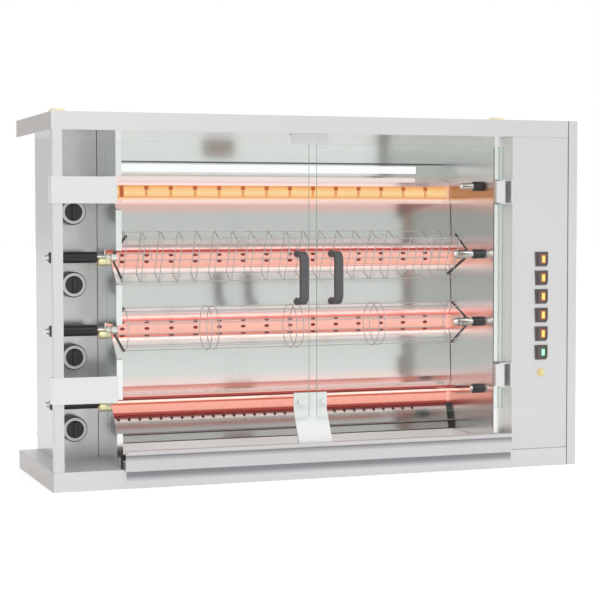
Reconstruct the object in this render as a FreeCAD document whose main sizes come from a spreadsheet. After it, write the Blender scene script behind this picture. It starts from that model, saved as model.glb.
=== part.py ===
import FreeCAD, Part
import math
import operator
import os

import Sketcher

# Gas chicken rotisserie, in millimetres.
# While a piece is being made, x runs from the left end of the lid, y from the front face
# towards the back and z up from the surface that the machine stands on. Every finished piece
# is then shifted so that the origin lies under the middle of the base.

ROWS = 4
SWITCHES = 6
TILES = 15
BASKET_COLUMNS = 19
BASKET_ROWS = 3
BASKET_BARS = 10
BASKET_RINGS = 5
AIR_HOLES = 31
FLUTES = 10

SIZES = [
    # the cabinet
    ("overall_width", 1360),
    ("overall_depth", 430),
    ("overall_height", 880),
    ("end_cover_width", 26),
    ("lid_rise", 42),
    ("base_rise", 46),
    ("casing_gauge", 2),
    ("inner_gauge", 1.5),
    ("casing_bend", 2.5),
    ("seam", 0.8),
    ("post_inset", 3),
    ("post_width", 24),
    ("post_depth", 20),
    ("bay_depth", 235),
    ("body_inset", 46.8),
    ("left_wall_place", 161),
    ("duct_width", 16),
    ("wall_front", 40),
    ("flange_width", 14),
    ("jamb_width", 15),
    ("control_width", 158),
    ("panel_return", 20),
    # the exhaust slot in the back
    ("exhaust_left_gap", 95),
    ("exhaust_right_gap", 62),
    ("exhaust_drop", 84),
    ("exhaust_rise", 20),
    # the four spit places
    ("lowest_row", 188),
    ("top_row_drop", 122),
    ("spit_depth", 160),
    ("shaft_diameter", 12),
    ("running_gap", 0.05),
    ("seat_gap", 0.3),
    ("slot_above", 18),
    ("slot_mouth_drop", 64),
    ("slot_run", 60),
    ("rest_diameter", 21),
    ("rest_length", 17.5),
    ("rest_drop", 10),
    ("rest_bolt", 5),
    ("rest_bolt_head", 9),
    ("rest_bolt_head_rise", 1.3),
    ("coupling_reach", 56),
    ("coupling_diameter", 17),
    ("bearing_diameter", 25),
    ("bearing_length", 19),
    ("bearing_spigot", 18),
    ("bearing_spigot_length", 8),
    ("sleeve_right_gap", 29),
    ("sleeve_length", 45),
    ("sleeve_diameter", 23),
    ("grip_start", 25),
    ("grip_end_gap", 19.5),
    ("grip_diameter", 27),
    ("grip_flute", 3),
    ("tip_start", 14),
    ("tip_diameter", 13),
    ("rod_diameter", 14),
    ("collar_diameter", 20),
    ("collar_gap", 1),
    ("collar_length", 6),
    # the baskets
    ("basket_left_gap", 42),
    ("basket_right_gap", 75),
    ("basket_wire", 3),
    ("flat_basket_height", 120),
    ("flat_basket_thick", 50),
    ("flat_basket_tilt", 25),
    ("round_basket_diameter", 112),
    ("strap_width", 22),
    ("strap_gauge", 3),
    ("hub_gap", 13),
    ("hub_length", 14),
    ("hub_diameter", 23),
    # the burners
    ("burner_drop", 11),
    ("low_burner_drop", 34),
    ("tiles_left_gap", 22.5),
    ("tile_gap", 0.8),
    ("tile_rise", 38),
    ("tile_thick", 11),
    ("tile_back_gap", 85),
    ("tiles_right_gap", 7),
    ("tile_ledge", 4),
    ("housing_setback", 3),
    ("housing_depth", 52),
    ("housing_rim", 3),
    ("burner_tube_setback", 30),
    ("burner_tube_diameter", 28),
    ("burner_tube_length", 37),
    ("nozzle_diameter", 14),
    ("nozzle_length", 16),
    ("probe_stand", 7),
    ("probe_spread", 24),
    ("probe_diameter", 8),
    ("probe_tip_diameter", 3),
    ("probe_reach", 26),
    ("probe_body_length", 42),
    ("probe_tip_length", 20),
    ("air_hole_diameter", 8),
    ("air_hole_left_gap", 46),
    ("air_hole_right_gap", 111),
    # the bent sheets behind the spits
    ("sheet_lip", 10),
    ("sheet_lip_drop", 11),
    ("sheet_lean", 5),
    ("hood_low", 38),
    ("hood_high", 53),
    ("sheet_foot_stand", 23),
    ("sheet_foot_height", 66),
    ("sheet_end_gap", 1.5),
    ("low_sheet_end_gap", 5),
    ("top_sheet_reach", 13),
    ("top_sheet_drop", 90),
    # the gas line
    ("knob_place", 94),
    ("lowest_knob", 121),
    ("knob_diameter", 62),
    ("knob_face_depth", 190),
    ("knob_skirt", 34),
    ("knob_face_diameter", 42),
    ("knob_ring_diameter", 58),
    ("knob_bar_width", 9),
    ("knob_bar_rise", 7),
    ("knob_gap", 3),
    ("stem_diameter", 8),
    ("valve_size", 40),
    ("manifold_diameter", 22),
    ("manifold_place", 62),
    ("manifold_low", 80),
    ("manifold_above_knob", 30),
    ("inlet_thread", 26.4),
    ("inlet_length", 22),
    ("feed_pipe", 8),
    ("feed_bend", 12),
    # the drive
    ("motor_plate_gap", 16),
    ("motor_plate_front", 70),
    ("motor_plate_depth", 230),
    ("gearbox_size", 80),
    ("gearbox_length", 40),
    ("motor_diameter", 58),
    ("motor_length", 56),
    ("motor_offset", 8),
    ("shaft_reach", 28),
    # the doors
    ("glass_gauge", 6),
    ("glass_front", 25),
    ("door_low", 148),
    ("door_top_gap", 24),
    ("left_glass_gap", 26),
    ("door_gap", 20),
    ("right_glass_gap", 13),
    ("pivot_inset", 12),
    ("pivot_depth", 12),
    ("block_pivot_inset", 8),
    ("block_pivot_depth", 18.5),
    ("block_front", 12),
    ("block_width", 26),
    ("block_bend", 2.5),
    ("hinge_height", 62),
    ("upper_hinge_drop", 145.5),
    ("lower_hinge_rise", 56),
    ("hinge_gauge", 3),
    ("hinge_flange", 35),
    ("hinge_pin", 6),
    ("knuckle_diameter", 18),
    ("jaw_gauge", 4),
    ("jaw_width", 24),
    ("arm_past_pivot", 6),
    ("ear_back", 8),
    ("ear_room", 0.5),
    ("clamp_bolt", 8),
    ("handle_drop", 50),
    ("handle_height", 116),
    ("handle_stand", 43),
    ("handle_width", 22),
    ("handle_thick", 13),
    ("handle_bend", 18),
    ("handle_from_edge", 40),
    ("handle_screw", 8),
    ("handle_cap", 18),
    ("handle_cap_rise", 3),
    # the door stops
    ("stop_width", 86),
    ("stop_depth", 46),
    ("lower_stop_low", 163),
    ("lower_stop_high", 206),
    ("upper_stop_drop", 32),
    ("upper_stop_width", 95),
    ("stop_flange", 20),
    ("buffer_diameter", 12),
    ("buffer_spread", 60),
    ("rail_front", 2),
    ("rail_depth", 8),
    ("rail_over_pan", 2),
    ("rail_rise", 14),
    ("rail_left_gap", 0.3),
    ("rail_right_gap", 9),
    ("rail_leg", 3),
    # the drip tray
    ("tray_left_gap", 4),
    ("tray_right_gap", 9),
    ("tray_front", -20),
    ("tray_front_low", 42.6),
    ("tray_front_high", 90),
    ("tray_lip_rise", 8),
    ("tray_lip_reach", 4),
    ("tray_lip_back", 11),
    ("tray_lip_inset", 3),
    ("pan_inset", 1.5),
    ("pan_right_inset", 10),
    ("pan_high", 64),
    ("pan_back_gap", 27),
    # the controls
    ("switch_inset", 82),
    ("button_height", 240),
    ("switch_above_button", 51.5),
    ("switch_pitch", 47.5),
    ("bezel_width", 36),
    ("bezel_height", 37),
    ("bezel_rise", 3),
    ("bezel_chamfer", 4),
    ("bezel_taper", 2),
    ("switch_body_width", 31),
    ("switch_body_height", 33),
    ("switch_body_depth", 30),
    ("rocker_radius", 12.8),
    ("rocker_height", 28),
    ("rocker_gap", 0.3),
    ("rocker_pivot_depth", 2),
    ("rocker_slope", 12),
    ("rocker_rest_angle", 8),
    ("button_ring", 21),
    ("button_diameter", 15),
    ("button_rise", 7),
    ("button_ring_rise", 3),
    ("button_depth", 22),
    # fittings on the lid and the back
    ("cap_left", 72),
    ("cap_right_gap", 97),
    ("cap_depth", 270),
    ("cap_diameter", 43),
    ("cap_rise", 22),
    ("gland_inset", 86),
    ("gland_height", 110),
    ("gland_diameter", 20),
    ("gland_bore", 9),
    ("gland_reach", 24),
]

doc = FreeCAD.newDocument("gas_rotisserie")
table = doc.addObject("Spreadsheet::Sheet", "Sizes")
pieces = []


class Size:
    """A number together with the spreadsheet formula that it comes from."""

    def __init__(self, text, value):
        self.text = text
        self.value = float(value)

    def __add__(self, other):
        return joined(self, "+", other)

    def __radd__(self, other):
        return joined(other, "+", self)

    def __sub__(self, other):
        return joined(self, "-", other)

    def __rsub__(self, other):
        return joined(other, "-", self)

    def __mul__(self, other):
        return joined(self, "*", other)

    def __rmul__(self, other):
        return joined(other, "*", self)

    def __truediv__(self, other):
        return joined(self, "/", other)

    def __neg__(self):
        return joined(0, "-", self)

    def __float__(self):
        return self.value


def as_size(thing):
    if isinstance(thing, Size):
        return thing
    return Size("(%s)" % repr(float(thing)), thing)


def joined(left, sign, right):
    actions = {"+": operator.add, "-": operator.sub, "*": operator.mul, "/": operator.truediv}
    left = as_size(left)
    right = as_size(right)
    return Size("(%s %s %s)" % (left.text, sign, right.text), actions[sign](left.value, right.value))


def root(thing):
    thing = as_size(thing)
    return Size("sqrt(%s)" % thing.text, math.sqrt(thing.value))


class Named:
    """Gives each cell of the table by its name."""

    def __getattr__(self, name):
        return Size("Sizes." + name, table.get(name))


def fill_table():
    for line, (name, number) in enumerate(SIZES, start=1):
        table.set("A%d" % line, name)
        table.set("B%d" % line, str(number))
        table.setAlias("B%d" % line, name)
    doc.recompute()


fill_table()
s = Named()


def bind(thing, prop, size):
    thing.setExpression(prop, as_size(size).text)


def place(thing, x, y, z):
    bind(thing, "Placement.Base.x", x)
    bind(thing, "Placement.Base.y", y)
    bind(thing, "Placement.Base.z", z)
    return thing


def turn_to(thing, axis, angle):
    thing.Placement = FreeCAD.Placement(FreeCAD.Vector(0, 0, 0), FreeCAD.Rotation(axis, float(angle)))


X_AXIS = FreeCAD.Vector(1, 0, 0)
Y_AXIS = FreeCAD.Vector(0, 1, 0)
Z_AXIS = FreeCAD.Vector(0, 0, 1)


def box(name, x, y, z, length, width, height):
    """A box from its lowest corner and its three sides."""
    block = doc.addObject("Part::Box", name)
    bind(block, "Length", length)
    bind(block, "Width", width)
    bind(block, "Height", height)
    return place(block, x, y, z)


def rod(name, along, x, y, z, diameter, length):
    """A cylinder that starts at a point and runs along the x, y or z axis."""
    bar = doc.addObject("Part::Cylinder", name)
    bind(bar, "Radius", as_size(diameter) / 2)
    bind(bar, "Height", length)
    if along == "x":
        turn_to(bar, Y_AXIS, 90)
    if along == "y":
        turn_to(bar, X_AXIS, -90)
    return place(bar, x, y, z)


def fuse(name, *parts):
    whole = doc.addObject("Part::MultiFuse", name)
    whole.Shapes = list(parts)
    return whole


def cut(name, base, *tools):
    tool = tools[0]
    if len(tools) > 1:
        tool = doc.addObject("Part::Compound", name + "_tools")
        tool.Links = list(tools)
    rest = doc.addObject("Part::Cut", name)
    rest.Base = base
    rest.Tool = tool
    return rest


def rounded(name, base, radius, wanted):
    """Rounds the edges of base that wanted(edge) picks."""
    doc.recompute()
    edges = [number for number, edge in enumerate(base.Shape.Edges, start=1) if wanted(edge)]
    fillet = doc.addObject("Part::Fillet", name)
    fillet.Base = base
    fillet.Edges = [(number, float(radius), float(radius)) for number in edges]
    return fillet


def lies_at(edge, **places):
    """True if the whole edge has the given coordinates."""
    bounds = edge.BoundBox
    near = 0.01
    for name, number in places.items():
        low = getattr(bounds, name.upper() + "Min")
        high = getattr(bounds, name.upper() + "Max")
        if abs(low - float(number)) > near or abs(high - float(number)) > near:
            return False
    return True


def plane_of(body, role):
    for feature in body.Origin.OriginFeatures:
        if feature.Role == role:
            return feature
    raise ValueError("no plane " + role)


def hold(sketch, line, kind, size):
    """Fixes one coordinate of the start of a line of the sketch."""
    size = as_size(size)
    if abs(size.value) < 1e-9:
        axis = -2 if kind == "DistanceX" else -1
        sketch.addConstraint(Sketcher.Constraint("PointOnObject", line, 1, axis))
        return
    number = sketch.addConstraint(Sketcher.Constraint(kind, -1, 1, line, 1, size.value))
    sketch.setExpression("Constraints[%d]" % number, size.text)


def outline(body, role, corners, offset=0):
    """A closed outline on a plane of the body's origin, each corner held by its two sizes."""
    sketch = body.newObject("Sketcher::SketchObject", body.Name + "_outline")
    sketch.AttachmentSupport = [(plane_of(body, role), "")]
    sketch.MapMode = "FlatFace"
    bind(sketch, "AttachmentOffset.Base.z", offset)
    points = [FreeCAD.Vector(float(across), float(up), 0) for across, up in corners]
    count = len(points)
    for line in range(count):
        sketch.addGeometry(Part.LineSegment(points[line], points[(line + 1) % count]), False)
    for line in range(count):
        sketch.addConstraint(Sketcher.Constraint("Coincident", line, 2, (line + 1) % count, 1))
    for line, (across, up) in enumerate(corners):
        hold(sketch, line, "DistanceX", across)
        hold(sketch, line, "DistanceY", up)
    return sketch


def padded(name, role, corners, start, length):
    """An outline drawn out square to its plane, from start."""
    body = doc.addObject("PartDesign::Body", name)
    sketch = outline(body, role, corners, start)
    pad = body.newObject("PartDesign::Pad", name + "_pad")
    pad.Profile = sketch
    bind(pad, "Length", length)
    body.Tip = pad
    return body


def turned(name, along, corners, x=0, y=0, z=0):
    """An outline turned about the x or y axis: each corner is a place on the axis and a radius."""
    body = doc.addObject("PartDesign::Body", name)
    if along == "y":
        corners = [(radius, step) for step, radius in corners]
    sketch = outline(body, "XY_Plane", corners)
    spin = body.newObject("PartDesign::Revolution", name + "_turn")
    spin.Profile = sketch
    spin.ReferenceAxis = (sketch, ["V_Axis" if along == "y" else "H_Axis"])
    spin.Angle = 360
    body.Tip = spin
    return place(body, x, y, z)


def shaped(name, shape, x=0, y=0, z=0, axis=X_AXIS, angle=0):
    """A shape made in code, then put in its place."""
    feature = doc.addObject("Part::Feature", name)
    feature.Shape = shape
    turn_to(feature, axis, angle)
    return place(feature, x, y, z)


def piece(label, *solids):
    """One sub-part: its solids together, shifted to the frame of the finished machine."""
    group = doc.addObject("Part::Compound", label)
    group.Label = label
    group.Links = list(solids)
    place(group, -s.overall_width / 2, -s.overall_depth / 2, 0)
    pieces.append(group)
    return group


# Places that many pieces share

case_width = s.overall_width - s.end_cover_width
lid_low = s.overall_height - s.lid_rise
body_rise = lid_low - s.base_rise
back_inner = s.overall_depth - s.casing_gauge
panel_place = case_width - s.control_width
right_wall_place = panel_place - s.duct_width
left_wall_inner = s.left_wall_place + s.casing_gauge
chamber_width = right_wall_place - left_wall_inner
row_pitch = (lid_low - s.top_row_drop - s.lowest_row) / (ROWS - 1)
exhaust_left = s.left_wall_place + s.exhaust_left_gap
exhaust_right = right_wall_place - s.exhaust_right_gap
exhaust_height = lid_low - s.exhaust_drop

# Along the spits
bearing_start = right_wall_place - s.bearing_length
coupling_start = right_wall_place - s.coupling_reach
sleeve_end = right_wall_place - s.sleeve_right_gap
sleeve_start = sleeve_end - s.sleeve_length
grip_end = s.left_wall_place - s.grip_end_gap
collar_start = left_wall_inner + s.collar_gap
hub_start = left_wall_inner + s.hub_gap
basket_start = left_wall_inner + s.basket_left_gap
basket_end = right_wall_place - s.basket_right_gap
motor_plate_place = panel_place + s.motor_plate_gap
plate_end = motor_plate_place + s.casing_gauge

# Burners and the sheets behind the spits
tile_face = s.overall_depth - s.tile_back_gap
housing_face = tile_face + s.housing_setback
tiles_begin = left_wall_inner + s.tiles_left_gap
tiles_end = right_wall_place - s.tiles_right_gap
tile_pitch = (tiles_end - tiles_begin) / TILES
burner_tube_depth = tile_face + s.burner_tube_setback
probe_depth = tile_face - s.probe_stand
probe_start = s.left_wall_place - s.probe_reach
air_hole_start = left_wall_inner + s.air_hole_left_gap
air_hole_pitch = (right_wall_place - s.air_hole_right_gap - air_hole_start) / (AIR_HOLES - 1)
sheet_foot_depth = tile_face - s.sheet_foot_stand
top_sheet_height = lid_low - s.top_sheet_drop

# Doors and their stops
glass_back = s.glass_front + s.glass_gauge
left_glass_start = s.left_wall_place - s.left_glass_gap
right_glass_end = panel_place - s.right_glass_gap
door_gap_middle = (left_glass_start + right_glass_end) / 2
left_pivot = left_glass_start + s.pivot_inset
right_pivot = right_glass_end - s.block_pivot_inset
door_high = lid_low - s.door_top_gap
upper_hinge = door_high - s.upper_hinge_drop
lower_hinge = s.door_low + s.lower_hinge_rise
handle_low = (s.door_low + door_high) / 2 - s.handle_drop
handle_high = handle_low + s.handle_height
upper_stop_low = lid_low - s.upper_stop_drop

# The tray and the rail above it
tray_left = left_wall_inner + s.tray_left_gap
tray_right = panel_place - s.tray_right_gap
pan_back = tile_face - s.pan_back_gap
rail_left = left_wall_inner + s.rail_left_gap
rail_right = panel_place - s.rail_right_gap
rail_low = s.pan_high + s.rail_over_pan
rail_high = rail_low + s.rail_rise

# Controls and fittings
switch_place = panel_place + s.switch_inset
lowest_switch = s.button_height + s.switch_above_button
cap_right = s.overall_width - s.cap_right_gap
gland_place = panel_place + s.gland_inset


def row_height(row):
    """Height of the spit axis of a row; row 1 is the top one."""
    return s.lowest_row + (ROWS - row) * row_pitch


def burner_height(row):
    drop = s.low_burner_drop if row == ROWS else s.burner_drop
    return row_height(row) - drop


def knob_height(row):
    return s.lowest_knob + (ROWS - row) * row_pitch


# Casing

def make_base_shell():
    gauge = s.casing_gauge
    outside = box("base_outside", 0, 0, 0, case_width - s.seam, s.overall_depth, s.base_rise)
    soft = rounded("base_soft", outside, s.casing_bend, lambda edge: (
        lies_at(edge, z=s.base_rise) or lies_at(edge, x=0, y=0) or lies_at(edge, x=0, y=s.overall_depth)))
    inside = box("base_inside", gauge, gauge, 0, case_width - s.seam - 2 * gauge,
                 s.overall_depth - 2 * gauge, s.base_rise - gauge)
    piece("base_shell", cut("base_pan", soft, inside))


def make_floor_plate():
    gauge = s.casing_gauge
    piece("floor_plate", box("floor_sheet", gauge, gauge, 0, case_width - s.seam - 2 * gauge,
                             s.overall_depth - 2 * gauge, gauge))


def make_lid_cover():
    gauge = s.casing_gauge
    outside = box("lid_outside", 0, 0, lid_low, case_width - s.seam, s.overall_depth, s.lid_rise)
    soft = rounded("lid_soft", outside, s.casing_bend, lambda edge: (
        lies_at(edge, z=s.overall_height) or lies_at(edge, x=0, y=0)
        or lies_at(edge, x=0, y=s.overall_depth)))
    inside = box("lid_inside", gauge, gauge, lid_low, case_width - s.seam - 2 * gauge,
                 s.overall_depth - 2 * gauge, s.lid_rise - gauge)
    piece("lid_cover", cut("lid_pan", soft, inside))


def make_ceiling_panel():
    gauge = s.casing_gauge
    piece("ceiling_panel", box("ceiling_sheet", gauge, gauge, lid_low, case_width - s.seam - 2 * gauge,
                               s.overall_depth - 2 * gauge, gauge))


def make_right_side_cover():
    gauge = s.casing_gauge
    outside = box("cover_outside", case_width, 0, 0, s.end_cover_width, s.overall_depth, s.overall_height)
    soft = rounded("cover_soft", outside, s.casing_bend,
                   lambda edge: lies_at(edge, x=s.overall_width) or lies_at(edge, y=0, z=s.overall_height))
    inside = box("cover_inside", case_width, gauge, gauge, s.end_cover_width - gauge,
                 s.overall_depth - 2 * gauge, s.overall_height - 2 * gauge)
    piece("right_side_cover", cut("cover_pan", soft, inside))


def make_control_panel():
    gauge = s.casing_gauge
    right = case_width - s.seam
    corners = [
        (panel_place, s.wall_front),
        (panel_place, 0),
        (right, 0),
        (right, s.panel_return),
        (right - gauge, s.panel_return),
        (right - gauge, gauge),
        (panel_place + gauge, gauge),
        (panel_place + gauge, s.wall_front),
    ]
    sheet = padded("control_sheet", "XY_Plane", corners, s.base_rise + s.seam / 2,
                   body_rise - s.seam)
    soft = rounded("control_soft", sheet, s.casing_gauge * 0.8, lambda edge: (
        lies_at(edge, x=panel_place, y=0) or lies_at(edge, x=right, y=0)))
    holes = []
    for number in range(SWITCHES):
        middle = lowest_switch + number * s.switch_pitch
        holes.append(box("switch_hole", switch_place - s.switch_body_width / 2 - s.seat_gap, -gauge,
                         middle - s.switch_body_height / 2 - s.seat_gap,
                         s.switch_body_width + 2 * s.seat_gap, 3 * gauge,
                         s.switch_body_height + 2 * s.seat_gap))
    holes.append(rod("button_hole", "y", switch_place, -gauge, s.button_height,
                     s.button_diameter + 4 + 2 * s.running_gap, 3 * gauge))
    piece("control_panel", cut("control_front", soft, *holes))


def make_front_left_post():
    gauge = s.casing_gauge
    far = s.post_inset + s.post_width
    corners = [
        (s.post_inset, s.post_depth),
        (s.post_inset, 0),
        (far, 0),
        (far, s.post_depth),
        (far - gauge, s.post_depth),
        (far - gauge, gauge),
        (s.post_inset + gauge, gauge),
        (s.post_inset + gauge, s.post_depth),
    ]
    sheet = padded("post_sheet", "XY_Plane", corners, s.base_rise, body_rise)
    soft = rounded("post_soft", sheet, s.casing_gauge * 0.8, lambda edge: (
        lies_at(edge, x=s.post_inset, y=0) or lies_at(edge, x=far, y=0)))
    piece("front_left_post", soft)


def make_knob_panel():
    gauge = s.casing_gauge
    corners = [
        (s.body_inset, back_inner),
        (s.body_inset, s.bay_depth),
        (s.left_wall_place - s.seam, s.bay_depth),
        (s.left_wall_place - s.seam, s.bay_depth + gauge),
        (s.body_inset + gauge, s.bay_depth + gauge),
        (s.body_inset + gauge, back_inner),
    ]
    sheet = padded("knob_sheet", "XY_Plane", corners, s.base_rise, body_rise)
    soft = rounded("knob_soft", sheet, s.casing_gauge * 0.8,
                   lambda edge: lies_at(edge, x=s.body_inset, y=s.bay_depth))
    holes = []
    for row in range(1, ROWS + 1):
        holes.append(rod("stem_hole", "y", s.knob_place, s.bay_depth - gauge, knob_height(row),
                         s.stem_diameter + 2 * s.seat_gap, 3 * gauge))
    piece("knob_panel", cut("knob_front", soft, *holes))


def slot_cutter(row):
    """The open slot of one spit: a wide mouth at the front, then level to its seat."""
    axis = row_height(row)
    radius = s.shaft_diameter / 2 + s.seat_gap
    front = s.wall_front - 1
    corners = [
        (front, axis + s.slot_above),
        (s.spit_depth, axis + s.slot_above),
        (s.spit_depth, axis - radius),
        (s.spit_depth - s.slot_run, axis - radius),
        (front, axis - s.slot_mouth_drop),
    ]
    start = s.left_wall_place - 1
    reach = s.flange_width + 2
    mouth = padded("slot_mouth", "YZ_Plane", corners, start, reach)
    seat = rod("slot_seat", "x", start, s.spit_depth, axis, 2 * radius, reach)
    return [mouth, seat]


def rest_place():
    """How far in front of the spit axis each rest stands, so that it just clears the shaft."""
    reach = (s.shaft_diameter + s.rest_diameter) / 2 + s.seat_gap
    return s.spit_depth - root(reach * reach - s.rest_drop * s.rest_drop)


def make_chamber_left_wall():
    gauge = s.casing_gauge
    flange_end = s.left_wall_place + s.flange_width
    corners = [
        (s.left_wall_place, back_inner),
        (s.left_wall_place, s.wall_front),
        (flange_end, s.wall_front),
        (flange_end, s.wall_front + gauge),
        (left_wall_inner, s.wall_front + gauge),
        (left_wall_inner, back_inner),
    ]
    sheet = padded("left_wall_sheet", "XY_Plane", corners, s.base_rise, body_rise)
    tools = [box("tray_room", left_wall_inner, s.wall_front - 1, s.base_rise - 1, s.flange_width,
                 gauge + 2, rail_low - s.base_rise + 1)]
    start = s.left_wall_place - 1
    reach = gauge + 2
    for row in range(1, ROWS + 1):
        tools += slot_cutter(row)
        tools.append(rod("rest_hole", "x", start, rest_place(), row_height(row) - s.rest_drop,
                         s.rest_bolt + 2 * s.running_gap, reach))
        tools.append(rod("tube_hole", "x", start, burner_tube_depth, burner_height(row),
                         s.burner_tube_diameter + 2 * s.seat_gap, reach))
        for side in (-1, 1):
            tools.append(rod("probe_hole", "x", start, probe_depth,
                             burner_height(row) + side * s.probe_spread / 2,
                             s.probe_diameter + 2 * s.running_gap, reach))
    piece("chamber_left_wall", cut("left_wall", sheet, *tools))


def make_chamber_right_wall():
    gauge = s.casing_gauge
    jamb = right_wall_place - s.jamb_width
    far = panel_place + gauge
    corners = [
        (jamb, s.wall_front),
        (far, s.wall_front),
        (far, s.wall_front + gauge),
        (right_wall_place + gauge, s.wall_front + gauge),
        (right_wall_place + gauge, back_inner),
        (right_wall_place, back_inner),
        (right_wall_place, s.wall_front + gauge),
        (jamb, s.wall_front + gauge),
    ]
    sheet = padded("right_wall_sheet", "XY_Plane", corners, s.base_rise, body_rise)
    holes = [box("tray_room", jamb - 1, s.wall_front - 1, s.base_rise - 1, s.jamb_width + 1, gauge + 2,
                 rail_low - s.base_rise + 1)]
    for row in range(1, ROWS + 1):
        holes.append(rod("bearing_hole", "x", right_wall_place - 1, s.spit_depth, row_height(row),
                         s.bearing_spigot + 2 * s.running_gap, gauge + 2))
    piece("chamber_right_wall", cut("right_wall", sheet, *holes))


def make_back_panel():
    gauge = s.casing_gauge
    sheet = box("back_sheet", s.body_inset, back_inner, s.base_rise, case_width - s.body_inset, gauge,
                body_rise)
    slot = box("exhaust_slot", exhaust_left, back_inner - 1, exhaust_height,
               exhaust_right - exhaust_left, gauge + 2, s.exhaust_rise)
    gas = rod("gas_hole", "y", s.manifold_place, back_inner - 1, s.manifold_low,
              s.manifold_diameter + 2 * s.running_gap, gauge + 2)
    mains = rod("gland_hole", "y", gland_place, back_inner - 1, s.gland_height,
                s.gland_diameter + 2 * s.running_gap, gauge + 2)
    piece("back_panel", cut("back_plate", sheet, slot, gas, mains))


def make_rear_reflectors():
    gauge = s.inner_gauge
    half = s.tile_rise / 2 + s.housing_rim
    sheets = []
    sheet_width = chamber_width - s.sheet_end_gap
    first = burner_height(1)
    lip = tile_face - s.seat_gap - gauge
    over = first + half + s.seat_gap
    top = [
        (lip, first + s.top_sheet_reach),
        (lip, over + gauge),
        (back_inner, top_sheet_height),
        (back_inner, top_sheet_height - gauge),
        (lip + gauge, over),
        (lip + gauge, first + s.top_sheet_reach),
    ]
    sheets.append(padded("top_sheet", "YZ_Plane", top, left_wall_inner, sheet_width))
    lip = housing_face - s.sheet_lip
    foot = lip - s.sheet_lean
    for row in range(1, ROWS):
        start = burner_height(row) - half
        lower = burner_height(row + 1)
        corners = [
            (housing_face, start),
            (lip, start - s.sheet_lip_drop),
            (foot, lower + s.hood_high),
            (foot, lower + s.hood_low),
            (housing_face, lower + half),
            (housing_face + gauge, lower + half),
            (foot + gauge, lower + s.hood_low + gauge / 2),
            (foot + gauge, lower + s.hood_high),
            (lip + gauge, start - s.sheet_lip_drop),
            (housing_face + gauge, start),
        ]
        sheets.append(padded("middle_sheet", "YZ_Plane", corners, left_wall_inner, sheet_width))
    start = burner_height(ROWS) - half
    bottom = [
        (housing_face, start),
        (lip, start - s.sheet_lip_drop),
        (sheet_foot_depth, s.sheet_foot_height),
        (sheet_foot_depth + gauge, s.sheet_foot_height),
        (lip + gauge, start - s.sheet_lip_drop),
        (housing_face + gauge, start),
    ]
    sheet = padded("bottom_sheet", "YZ_Plane", bottom, left_wall_inner,
                   chamber_width - s.low_sheet_end_gap)
    holes = []
    for number in range(AIR_HOLES):
        holes.append(rod("air_hole", "y", air_hole_start + number * air_hole_pitch, lip - 5,
                         start - s.sheet_lip_drop + 1, s.air_hole_diameter, 20))
    sheets.append(cut("bottom_sheet_open", sheet, *holes))
    piece("rear_reflectors", *sheets)


def make_front_rail():
    width = rail_right - rail_left
    bar = box("rail_bar", rail_left, s.rail_front, rail_low, width, s.rail_depth,
              rail_high - rail_low)
    left = box("rail_left_leg", rail_left, s.rail_front, s.base_rise, s.rail_leg, s.rail_depth,
               rail_high - s.base_rise)
    right = box("rail_right_leg", rail_right - s.rail_leg, s.rail_front, s.base_rise, s.rail_leg,
                s.rail_depth, rail_high - s.base_rise)
    piece("front_rail", fuse("rail", bar, left, right))


def make_upper_door_stop():
    gauge = s.casing_gauge
    left = door_gap_middle - s.upper_stop_width / 2
    corners = [
        (s.stop_depth, upper_stop_low),
        (s.stop_depth, lid_low),
        (s.stop_depth + s.stop_flange, lid_low),
        (s.stop_depth + s.stop_flange, lid_low - gauge),
        (s.stop_depth + gauge, lid_low - gauge),
        (s.stop_depth + gauge, upper_stop_low),
    ]
    piece("upper_door_stop", padded("upper_stop", "YZ_Plane", corners, left, s.upper_stop_width))


def make_lower_door_stop():
    """A plate behind the doors, a strip sloping down to the rail, and two rubber buffers."""
    gauge = s.casing_gauge
    left = door_gap_middle - s.stop_width / 2
    rail_back = s.rail_front + s.rail_depth
    corners = [
        (s.stop_depth, s.lower_stop_high),
        (s.stop_depth, s.lower_stop_low),
        (s.rail_front + 1, rail_high + gauge),
        (s.rail_front + 1, rail_high),
        (rail_back, rail_high),
        (s.stop_depth + gauge, s.lower_stop_low - gauge),
        (s.stop_depth + gauge, s.lower_stop_high),
    ]
    plate = padded("lower_stop", "YZ_Plane", corners, left, s.stop_width)
    buffers = []
    height = (s.lower_stop_low + s.lower_stop_high) / 2
    buffer_front = glass_back + s.seat_gap
    for side in (-1, 1):
        buffers.append(rod("door_buffer", "y", door_gap_middle + side * s.buffer_spread / 2,
                           buffer_front, height, s.buffer_diameter, s.stop_depth - buffer_front))
    piece("lower_door_stop", plate, *buffers)


def make_lid_caps():
    caps = []
    radius = s.cap_diameter / 2
    for place_x in (s.cap_left, cap_right):
        corners = [
            (0, 0),
            (0, radius),
            (s.cap_rise - 4, radius),
            (s.cap_rise, radius - 4),
            (s.cap_rise, 0),
        ]
        cap = turned("lid_cap", "x", corners)
        turn_to(cap, Y_AXIS, -90)
        caps.append(place(cap, place_x, s.cap_depth, s.overall_height))
    piece("lid_caps", *caps)


# Gas and heat

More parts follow.
